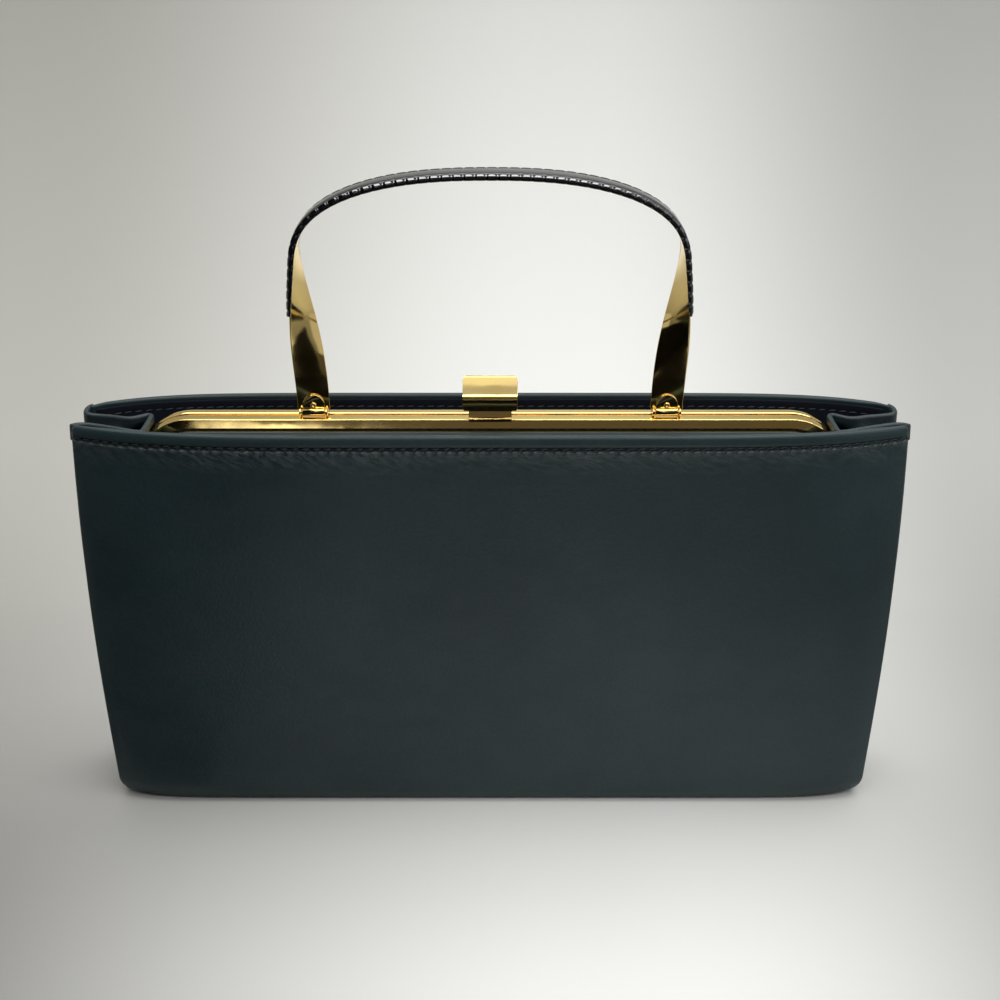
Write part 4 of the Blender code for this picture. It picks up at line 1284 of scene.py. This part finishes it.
@dataclass
class Handle:
    """Metal strip that twists in each leg, its leather cover and the cover's stitches."""

    arch_width: float = 121.8 * MM
    arch_start: float = 52.0 * MM
    crown: float = 78.1 * MM
    arch_power: float = 2.4
    strip_width: float = 10.5 * MM
    strip_half: float = 0.4 * MM
    strip_lift: float = 2.0 * MM
    twist_start: float = 2.0 * MM
    twist_end: float = 61.0 * MM
    cover_start: float = 34.6 * MM
    cover_half: float = 5.55 * MM
    cover_top: float = 1.65 * MM
    seam_out: float = 4.1 * MM
    seam_depth: float = 0.42 * MM
    glue: float = 0.06 * MM
    wrap_start: float = 50.0 * MM
    wrap_length: float = 14.0 * MM
    middle_y: float = -0.4 * MM
    step: float = 0.4 * MM
    facet: tuple[Pair, ...] = (
        (0.075, 0.80), (0.09, 0.774), (0.374, 0.302), (0.39, 0.277), (0.46, 0.20), (0.72, 0.12))
    stitches: StitchRun = field(default_factory=lambda: StitchRun(
        3.5 * MM, 2.5 * MM, 0.50 * MM, 4.0, 23))

    def rough_line(self) -> Line:
        """Return closely spaced points (x, height over the frame) of the strip's middle line."""
        half = self.arch_width / 2
        power = 2.0 / self.arch_power
        right = []
        for height in spread(self.strip_lift, self.arch_start, 160)[:-1]:
            bend = smooth_step(height / self.arch_start)
            right.append((mix(SHAPE.handle_span / 2, half, bend), height))
        rise = self.crown - self.arch_start
        right += [(half * max(math.cos(turn), 0.0) ** power,
                   self.arch_start + rise * math.sin(turn) ** power)
                  for turn in spread(0.0, math.pi / 2, 500)]
        return [(-x, height) for x, height in right[:-1]] + right[::-1]

    def even_line(self) -> list[Point]:
        """Return the same line at even steps, as (x, height, length from the left foot)."""
        rough = self.rough_line()
        lengths = [0.0]
        for first, second in zip(rough, rough[1:]):
            lengths.append(lengths[-1] + math.dist(first, second))
        even = []
        index = 0
        for target in spread(0.0, lengths[-1], int(lengths[-1] / self.step) + 1):
            while index < len(lengths) - 2 and lengths[index + 1] < target:
                index += 1
            share = (target - lengths[index]) / (lengths[index + 1] - lengths[index])
            x, height = (mix(low, high, share) for low, high in zip(*rough[index:index + 2]))
            even.append((x, height, target))
        return even

    def stations(self) -> list[tuple[Vector, Vector, Vector, float, float]]:
        """Return even stations as (centre, sideways, normal, height, length from the left foot)."""
        even = self.even_line()
        placed = []
        back = Vector((0.0, 1.0, 0.0))
        for number, (x, height, length) in enumerate(even):
            before = even[max(number - 2, 0)]
            after = even[min(number + 2, len(even) - 1)]
            along = Vector((after[0] - before[0], 0.0, after[1] - before[1])).normalized()
            outward = Vector((-along.z, 0.0, along.x))
            twist = ramp(height, self.twist_start, self.twist_end - self.twist_start)
            turn = 0.5 * math.pi * (1.0 - twist)
            normal = outward * math.cos(turn) + back * math.sin(turn)
            sideways = back * math.cos(turn) - outward * math.sin(turn)
            centre = Vector((x, self.middle_y, SHAPE.height + height))
            placed.append((centre, sideways, normal, height, length))
        return placed

    def sweep(self, name: str, section: Callable[[float, float], Line],
              start: float = 0.0) -> Piece:
        """Return a section swept along the strip from a height over the frame.

        Args:
            name: Name of the piece.
            section: Gives (sideways, outwards) points for a length and a height.
            start: Height at which the piece starts.
        """
        stations = [station for station in self.stations() if station[3] >= start]
        return ring_solid(name, [
            [centre + sideways * wide + normal * deep
             for wide, deep in section(length - stations[0][4], height)]
            for centre, sideways, normal, height, length in stations])

    def build_strip(self) -> Piece:
        """Return the metal strip with rounded edges."""
        half = self.strip_width / 2
        thick = self.strip_half
        bend = 0.25 * MM
        corner = arc(bend, 0.0, 90.0, 3, half - bend, thick - bend)
        side = corner + [(0.0, thick)] + [(-x, y) for x, y in reversed(corner)]
        section = side + [(-x, -y) for x, y in side]
        return crease(self.sweep("handle_band", lambda length, height: section), 60.0)

    def cover_edge(self, swell: float, wrap: float) -> Line:
        """Return one edge of the cover's section, from under the strip to the middle of its top.

        Args:
            swell: How far the edge stands out here, -1 at a stitch hole and 1 between two holes.
            wrap: How far the leather is turned round the strip's edge, as a share.
        """
        strip = self.strip_width / 2
        half = mix(strip - 0.05 * MM, self.cover_half, wrap) + 0.15 * MM * swell
        inner = mix(strip - 0.6 * MM, strip + 0.06 * MM, wrap)
        low = mix(self.strip_half + 0.03 * MM, -self.strip_half - 0.08 * MM, wrap)
        dent = 0.12 * MM * (1.0 - swell)
        top = self.cover_top
        seam = self.seam_out
        return [(inner, low), (half - 0.1 * MM, low - 0.05 * MM), (half, low + 0.15 * MM),
                (half + 0.06 * MM, mix(low, top, 0.4)), (half, top - 0.98 * MM),
                *[(half - inward * MM, top - (drop - 0.06 * swell) * MM)
                  for inward, drop in self.facet],
                (seam + 0.32 * MM, top - 0.28 * MM - dent * 0.5),
                (seam, top - self.seam_depth - dent),
                (seam - 0.35 * MM, top - 0.25 * MM - dent * 0.6),
                (seam - 0.9 * MM, top - 0.07 * MM), (seam - 1.9 * MM, top)]

    def cover_section(self, length: float, height: float) -> Line:
        """Return the cover's section, drawn in at each stitch.

        Args:
            length: Length along the strip from the cover's end.
            height: Height over the frame; the rear edge wraps the strip on the arch only.
        """
        place = abs((length / self.stitches.pitch) % 1.0 - 0.5) * 2.0
        swell = 2.0 * smooth_step(place / 0.45) - 1.0
        rear = self.cover_edge(swell, ramp(height, self.wrap_start, self.wrap_length))
        front = self.cover_edge(swell, 1.0)
        near = self.strip_half + self.glue
        return (rear + [(0.0, self.cover_top + 0.06 * MM)]
                + [(-wide, deep) for wide, deep in reversed(front)]
                + [(-front[0][0], near), (rear[0][0], near)])

    def seam_lines(self) -> list[tuple[Row, Row]]:
        """Return the cover's two stitch lines with their outward directions."""
        stations = [station for station in self.stations()
                    if station[3] >= self.cover_start + 1.2 * MM]
        rise = self.cover_top - self.seam_depth
        return [([centre + sideways * wide + normal * rise
                  for centre, sideways, normal, *_ in stations],
                 [normal for _, _, normal, *_ in stations])
                for wide in (self.seam_out, -self.seam_out)]

    def make(self) -> None:
        """Build, dress and mount the strip, the cover and the stitches."""
        dress(self.build_strip(), GOLD, ["handle_strip"], Body.HANDLE)
        cover = self.sweep("handle_grip", self.cover_section, self.cover_start)
        dress(cover, PATENT, ["handle_cover"], Body.HANDLE)
        self.stitches.sew("handle_stitches", self.seam_lines(), BLACK_THREAD, "patent_leather",
                          Body.HANDLE)


@dataclass
class HingeLeaf:
    """Hinge leaf in front of a leg's foot, curled round its pin, with a dimpled rivet."""

    end: End
    width: float = 7.2 * MM
    thick: float = 0.6 * MM
    setback: float = 2.3 * MM
    barrel: float = 1.2 * MM
    axis_rise: float = 1.5 * MM
    centre_rise: float = 3.6 * MM
    head: float = 1.05 * MM
    dimple: tuple[Pair, ...] = ((0.05, 0.12), (0.18, 0.16), (0.32, 0.34), (0.45, 0.50),
                                (0.62, 0.52), (0.80, 0.42), (0.94, 0.24), (1.0, 0.02),
                                (1.0, -0.02))

    def make(self) -> None:
        """Build, dress and mount the leaf and its rivet."""
        name = self.end.name.lower()
        middle = self.end.value * SHAPE.handle_span / 2
        half = self.width / 2
        back = -self.setback + self.barrel
        front = back - self.thick
        axis_z = SHAPE.height + self.axis_rise
        centre_z = SHAPE.height + self.centre_rise
        outline = arc(half, 0.0, 180.0, 28, middle, centre_z)
        outline += [(middle - half, axis_z + 0.1 * MM), (middle + half, axis_z + 0.1 * MM)]
        plate = round_edges(prism("plate", outline, front, back, along_y), 0.22 * MM, 4)
        axis = (-self.setback, axis_z)
        outline = arc(self.barrel, 0.0, -300.0, 30, *axis)
        outline += arc(self.barrel - self.thick + 0.05 * MM, -300.0, 0.0, 30, *axis)
        curl = prism("curl", outline, middle - half, middle + half, along_x)
        leaf = join("hinge_leaf_" + name, [plate, round_edges(curl, 0.12 * MM, 2, 50.0)])
        dress(crease(leaf, 50.0), GOLD, ["handle_leaf_" + name], Body.HANDLE)
        rings = []
        for wide, rise in self.dimple:
            circle = arc(self.head * wide, 0.0, 360.0, 28, middle, centre_z)[:-1]
            rings.append([Vector((x, front - rise * MM, z)) for x, z in circle])
        rivet = ring_solid("rivet_" + name, rings)
        dress(rivet, GOLD, ["handle_rivet_" + name], Body.HANDLE)


# Clasp


@dataclass
class LiftClasp:
    """Lift clasp: an upright face, a thumb tab that leans back, and an arm to the pin."""

    width: float = 17.8 * MM
    plate: float = 1.0 * MM
    face_bottom: float = 3.1 * MM
    face_top: float = 7.9 * MM
    setback: float = 5.9 * MM
    thumb_reach: float = 5.3 * MM
    thumb_rise: float = 5.6 * MM
    arm_width: float = 11.0 * MM
    arm: float = 1.1 * MM
    barrel: float = 1.4 * MM
    axis_setback: float = 2.6 * MM
    corner: float = 1.4 * MM

    def side_line(self) -> Row:
        """Return the outer line of the bent plate as (y, z), softly curved at its bend."""
        front = -self.setback
        low = SHAPE.height + self.face_bottom
        bend = SHAPE.height + self.face_top
        lean = Vector((self.thumb_reach, self.thumb_rise))
        start = Vector((front, bend))
        line = [(front + 0.15 * MM, low), (front, low + 0.8 * MM), (front, mix(low, bend, 0.6))]
        line += [(front + back * MM, bend + rise * MM)
                 for back, rise in ((0.01, -0.30), (0.10, -0.02), (0.27, 0.22))]
        out = Vector((-lean.y, lean.x)).normalized()
        for share in (0.10, 0.22, 0.36, 0.50, 0.64, 0.78, 0.90, 1.0):
            bulge = 0.11 * MM * math.sin(math.pi * share)
            line.append(start.lerp(start + lean, share) + out * bulge)
        return [Vector(point) for point in line]

    def build_plate(self) -> Piece:
        """Return the bent plate with rounded corners and edges."""
        line = self.side_line()
        back = [spot + Vector((way.y, -way.x)) * self.plate
                for spot, way in zip(line, tangents(line))]
        columns = [1.0 - step for step in (0.0, 0.012, 0.035, 0.07, 0.11, 0.16)]
        shares = [-share for share in columns] + spread(-0.8, 0.8, 9) + columns[::-1]
        near = []
        far = []
        for front, rear in zip(line, back):
            reach = self.width / 2 - bite(self.corner * 0.8, line[-1].y - front.y)
            reach -= bite(0.5 * MM, front.y - line[0].y)
            near.append([Vector((share * reach, *front)) for share in shares])
            far.append([Vector((share * reach, *rear)) for share in shares])
        return round_edges(sheet_solid("plate", near, far), 0.28 * MM, 4, 50.0)

    def make(self) -> None:
        """Build, dress and mount the clasp tab."""
        half = self.arm_width / 2
        axis = Vector((self.axis_setback, SHAPE.height + 0.3 * MM + self.barrel))
        inner = Vector((-self.setback + self.plate / 2, SHAPE.height + self.face_top - self.plate))
        way = (inner - axis).normalized()
        across = Vector((-way.y, way.x)) * (self.arm / 2)
        outline = [tuple(spot) for spot in (axis + across, axis - across, inner - across,
                                            inner + across)]
        arm = round_edges(prism("arm", outline, -half, half, along_x), 0.2 * MM, 2)
        ring = arc(self.barrel, 0.0, 360.0, 32, axis.x, axis.y)[:-1]
        barrel = round_edges(prism("barrel", ring, -half, half, along_x), 0.15 * MM, 2, 50.0)
        tab = crease(join("lift_clasp", [self.build_plate(), arm, barrel]), 50.0)
        dress(tab, GOLD, ["clasp_tab"], Body.CLASP)


# Frame


@dataclass
class FrameRail:
    """One channel rail of the frame, with the ears that its hinges turn on."""

    side: Side
    arm: float = 28.0 * MM
    wall: float = 0.7 * MM
    near: float = 0.15 * MM
    far: float = 4.0 * MM
    pivot_drop: float = 35.0 * MM
    pivot_hole: float = 1.3 * MM
    pivot_eye: float = 4.0 * MM
    ear: float = 1.0 * MM
    pin_ear: float = 0.8 * MM
    gap: float = 0.3 * MM
    leaf_half: float = 3.6 * MM
    clasp_half: float = 5.5 * MM
    pin_eye: tuple[float, ...] = (-2.3, 1.5, 0.5, 1.2)
    pin_feet: tuple[tuple[float, ...], ...] = ((-1.7, 2.5, 0.3, 1.4, 0.2),
                                               (0.9, 2.5, -0.3, 1.0, 0.1))
    clasp_eye: tuple[float, ...] = (2.6, 1.7, 0.6, 1.4)
    clasp_feet: tuple[tuple[float, ...], ...] = ((1.3, 3.9, -0.3, 1.0, 0.15),)

    def contour(self) -> list[tuple[Vector, Vector]]:
        """Return the outer contour with inward directions, left arm to right arm."""
        corner = SHAPE.frame_corner
        centre = Vector((SHAPE.frame_half - corner, 0.0, SHAPE.height - corner))
        right = [(Vector((x, 0.0, SHAPE.height)), Vector((0.0, 0.0, -1.0)))
                 for x in spread(0.0, centre.x, 25)[:-1]]
        for x, z in arc(1.0, 90.0, 0.0, 24):
            way = Vector((x, 0.0, z))
            right.append((centre + way * corner, -way))
        right.append((Vector((SHAPE.frame_half, 0.0, SHAPE.height - self.arm)),
                      Vector((-1.0, 0.0, 0.0))))
        left = [(Vector((-spot.x, 0.0, spot.z)), Vector((-way.x, 0.0, way.z)))
                for spot, way in reversed(right[1:])]
        return left + right

    def section(self) -> Line:
        """Return the channel's section as (distance in from the contour, depth)."""
        if self.side is Side.FRONT:
            seam = [(2.0, 0.15), (2.0, 0.55), (0.55, 0.58), (0.22, 0.66), (0.07, 0.82)]
            face = [(0.0, 1.25), (0.28, 2.70), (0.53, 3.68), (0.57, 3.80), (0.72, 3.91),
                    (0.92, 3.97), (1.0, 3.995), (3.25, 4.78), (3.30, 4.80), (7.0, 4.80)]
        else:
            seam = [(2.0, 0.15), (2.0, 1.04), (0.26, 1.26), (0.11, 1.52), (0.03, 1.82)]
            face = [(0.0, 2.2), (0.0, 3.75), (0.05, 4.1), (0.2, 4.42), (0.45, 4.62), (0.8, 4.7),
                    (7.0, 4.70)]
        inside = [(7.0, 4.0), (3.6, 3.98), (1.4, 3.2), (1.2, 2.9), (1.2, 1.75), (2.2, 1.55),
                  (2.4, 0.85), (7.0, 0.85)]
        return [(inward * MM, depth * MM)
                for inward, depth in [(7.0, 0.15), *seam, *face, *inside]]

    def build_channel(self) -> Piece:
        """Return the channel swept along the contour."""
        rings = [[Vector((spot.x + way.x * inward, self.side.value * depth,
                          spot.z + way.z * inward)) for inward, depth in self.section()]
                 for spot, way in self.contour()]
        return crease(ring_solid("channel", rings), 50.0)

    def pivot_ears(self) -> list[Piece]:
        """Return the ears that reach down to the frame's two pivots."""
        outer = SHAPE.frame_half
        thick = self.wall
        if self.side is Side.FRONT:
            outer -= self.wall + self.gap
            thick = self.ear
        pivot_z = SHAPE.height - self.pivot_drop
        top = SHAPE.height - self.arm + 4.0 * MM
        front, rear = sorted((self.side.value * self.near, self.side.value * self.far))
        items = []
        for end in End:
            low, high = sorted((end.value * (outer - thick), end.value * outer))
            items.append(eyelet("eye", (0.0, pivot_z), self.pivot_hole, self.pivot_eye, low, high))
            items.append(block("neck", (low, front, pivot_z + 1.5 * MM), (high, rear, top),
                               0.15 * MM))
        return items

    def pin_ears(self, lows: Iterable[float], thick: float, eye: Sequence[float],
                 feet: Iterable[Sequence[float]]) -> list[Piece]:
        """Return ears on the rear rail that hold a pin.

        Args:
            lows: Lower x of each ear.
            thick: Thickness of an ear.
            eye: The pin's y and height over the frame, and the eye's hole and outer radius.
            feet: Front, rear, bottom, top and edge rounding of each block under an eye.

        Returns:
            An eye and its feet for each ear.
        """
        y, rise, hole, radius = (size * MM for size in eye)
        items = []
        for low in lows:
            high = low + thick
            items.append(eyelet("eye", (y, SHAPE.height + rise), hole, radius, low, high))
            for foot in feet:
                front, rear, bottom, top, edge = (size * MM for size in foot)
                items.append(block("foot", (low, front, SHAPE.height + bottom),
                                   (high, rear, SHAPE.height + top), edge))
        return items

    def all_pin_ears(self) -> list[Piece]:
        """Return the ears that hold the handle's pins and the clasp's pin."""
        reach = self.leaf_half + self.gap
        lows = [end.value * SHAPE.handle_span / 2 + step
                for end in End for step in (-reach - self.pin_ear, reach)]
        items = self.pin_ears(lows, self.pin_ear, self.pin_eye, self.pin_feet)
        lows = [-self.clasp_half - self.gap - self.ear, self.clasp_half + self.gap]
        return items + self.pin_ears(lows, self.ear, self.clasp_eye, self.clasp_feet)

    def make(self) -> None:
        """Build, dress and mount the rail."""
        name = self.side.prefix
        items = self.pivot_ears()
        if self.side is Side.REAR:
            items += self.all_pin_ears()
        else:
            items.append(block("catch_foot", (-7.0 * MM, -4.74 * MM, SHAPE.height - 1.2 * MM),
                               (7.0 * MM, -3.45 * MM, SHAPE.height + 0.2 * MM), 0.28 * MM))
        items = [self.build_channel(), *(crease(item, 40.0) for item in items)]
        body = Body.FRONT_RAIL if self.side is Side.FRONT else Body.BAG
        dress(join(name + "_rail", items), GOLD, ["frame_" + name + "_rail"], body)


# Solids shown as they are


@dataclass
class FrameMetal:
    """Finishes of the solids that are shown as they are."""

    nodes: dict[str, Piece]
    gold: tuple[str, ...] = ("frame_pivot_left", "frame_pivot_right", "handle_pin_left",
                             "handle_pin_right", "clasp_pin", "clasp_catch")
    board: tuple[str, ...] = ("base_board", "front_board", "rear_board")

    def make(self) -> None:
        """Give each shown solid its finish."""
        for names, finish in ((self.gold, GOLD), (self.board, BOARD)):
            for name in names:
                for place in self.nodes[name].material_slots:
                    place.material = finish.material()


# Studio


@dataclass
class Studio:
    """Pale floor and backdrop, soft lights and the camera."""

    camera_place: Point = (0.0032, -0.4619, 0.3099)
    pitch: float = 23.7
    lens: float = 54.0
    wall: float = 0.42
    wall_top: float = 0.80
    bend: float = 0.30
    card_z: float = 0.001

    def floor(self) -> None:
        """Build the floor that curves up into a backdrop."""
        line = [(-1.6, 0.0), (self.wall - self.bend, 0.0)]
        line += [(self.wall - self.bend + y, z + self.bend)
                 for y, z in arc(self.bend, -90.0, 0.0, 24)][1:]
        line.append((self.wall, self.wall_top))
        points = [(x, y, z) for y, z in line for x in (-2.0, 2.0)]
        faces = [(2 * step, 2 * step + 1, 2 * step + 3, 2 * step + 2)
                 for step in range(len(line) - 1)]
        mesh = bpy.data.meshes.new("backdrop")
        mesh.from_pydata(points, [], faces)
        mesh.shade_smooth()
        item = new_object("backdrop", mesh)
        item.data.materials.append(PAPER.material())

    def board(self, name: str, low: Point, high: Point, finish: Finish) -> Piece:
        """Place a flat board between two opposite corners, out of the camera's sight."""
        first, second = (axis for axis in range(3) if low[axis] != high[axis])
        corners = [[high[axis] if axis in moved else low[axis] for axis in range(3)]
                   for moved in ((), (first,), (first, second), (second,))]
        mesh = bpy.data.meshes.new(name)
        mesh.from_pydata(corners, [], [(0, 1, 2, 3)])
        item = new_object(name, mesh)
        item.data.materials.append(finish.material())
        item.visible_camera = False
        return item

    def card(self, name: str, low: Pair, high: Pair) -> None:
        """Lay a level dark card on the floor that shows in reflections alone."""
        item = self.board(name, (*low, self.card_z), (*high, self.card_z), DARK_CARD)
        item.visible_diffuse = False
        item.visible_shadow = False

    def lamp(self, name: str, place: Point, aim: Point, size: Pair, power: float) -> None:
        """Hang a soft rectangular lamp that points at a spot."""
        data = bpy.data.lights.new(name, "AREA")
        data.shape = "RECTANGLE"
        data.size, data.size_y = size
        data.energy = power
        item = bpy.data.objects.new(name, data)
        item.location = place
        item.rotation_mode = "QUATERNION"
        item.rotation_quaternion = (Vector(aim) - Vector(place)).to_track_quat("-Z", "Y")
        bpy.context.scene.collection.objects.link(item)

    def make(self) -> None:
        """Build the floor, the lamps, the world and the camera."""
        scene = bpy.context.scene
        self.floor()
        self.lamp("ceiling_lamp", (0.25, 0.35, 1.50), (0.25, 0.35, 0.0), (2.0, 1.3), 24.0)
        self.lamp("front_lamp", (0.0, -0.43, 1.50), (0.0, -0.43, 0.0), (1.8, 0.26), 0.85)
        self.lamp("side_lamp", (1.30, -0.60, 0.90), (0.0, 0.0, 0.1), (1.0, 0.9), 3.6)
        self.lamp("strip_lamp", (0.0, -1.02, 1.45), (0.0, 0.0, 0.15), (1.8, 0.09), 6.2)
        self.card("near_card", (-0.40, -0.375), (0.90, -0.24))
        self.card("far_card", (-0.40, -1.00), (0.90, -0.375))
        self.board("front_board", (-0.80, -1.00, 0.02), (0.90, -1.00, 0.78), DIM_CARD)
        self.card("near_left_card", (-0.50, -0.24), (-0.10, -0.03))
        self.board("shade_board", (-0.22, -0.60, 0.0), (-0.22, -0.05, 0.46), DARK_CARD)
        self.lamp("left_lamp", (-0.245, -0.98, 0.50), (-0.07, 0.0, 0.137), (0.15, 0.34), 0.26)
        world = bpy.data.worlds.new("studio")
        world.use_nodes = True
        backing = world.node_tree.nodes["Background"]
        backing.inputs["Color"].default_value = (0.95, 0.97, 1.0, 1.0)
        backing.inputs["Strength"].default_value = 0.53
        scene.world = world
        data = bpy.data.cameras.new("view")
        data.lens = self.lens
        data.sensor_width = 36.0
        data.clip_start = 0.01
        camera = bpy.data.objects.new("view", data)
        camera.location = self.camera_place
        camera.rotation_euler = (math.radians(90.0 - self.pitch), 0.0, 0.0)
        scene.collection.objects.link(camera)
        scene.camera = camera
        scene.view_settings.view_transform = "Standard"


def main() -> None:
    """Build every piece around the frame, in order."""
    logging.basicConfig(level=logging.INFO, format="%(message)s")
    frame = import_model()
    Studio().make()
    BaseTray().make()
    for panel in (OuterPanel(Side.FRONT, 2.0), OuterPanel(Side.REAR, 31.0)):
        panel.make()
    for side in Side:
        PouchSide(side).make()
        FrameRail(side).make()
    for end in End:
        SideGusset(end).make()
        HingeLeaf(end).make()
    Handle().make()
    LiftClasp().make()
    FrameMetal(frame["nodes"]).make()


if __name__ == "__main__":
    main()
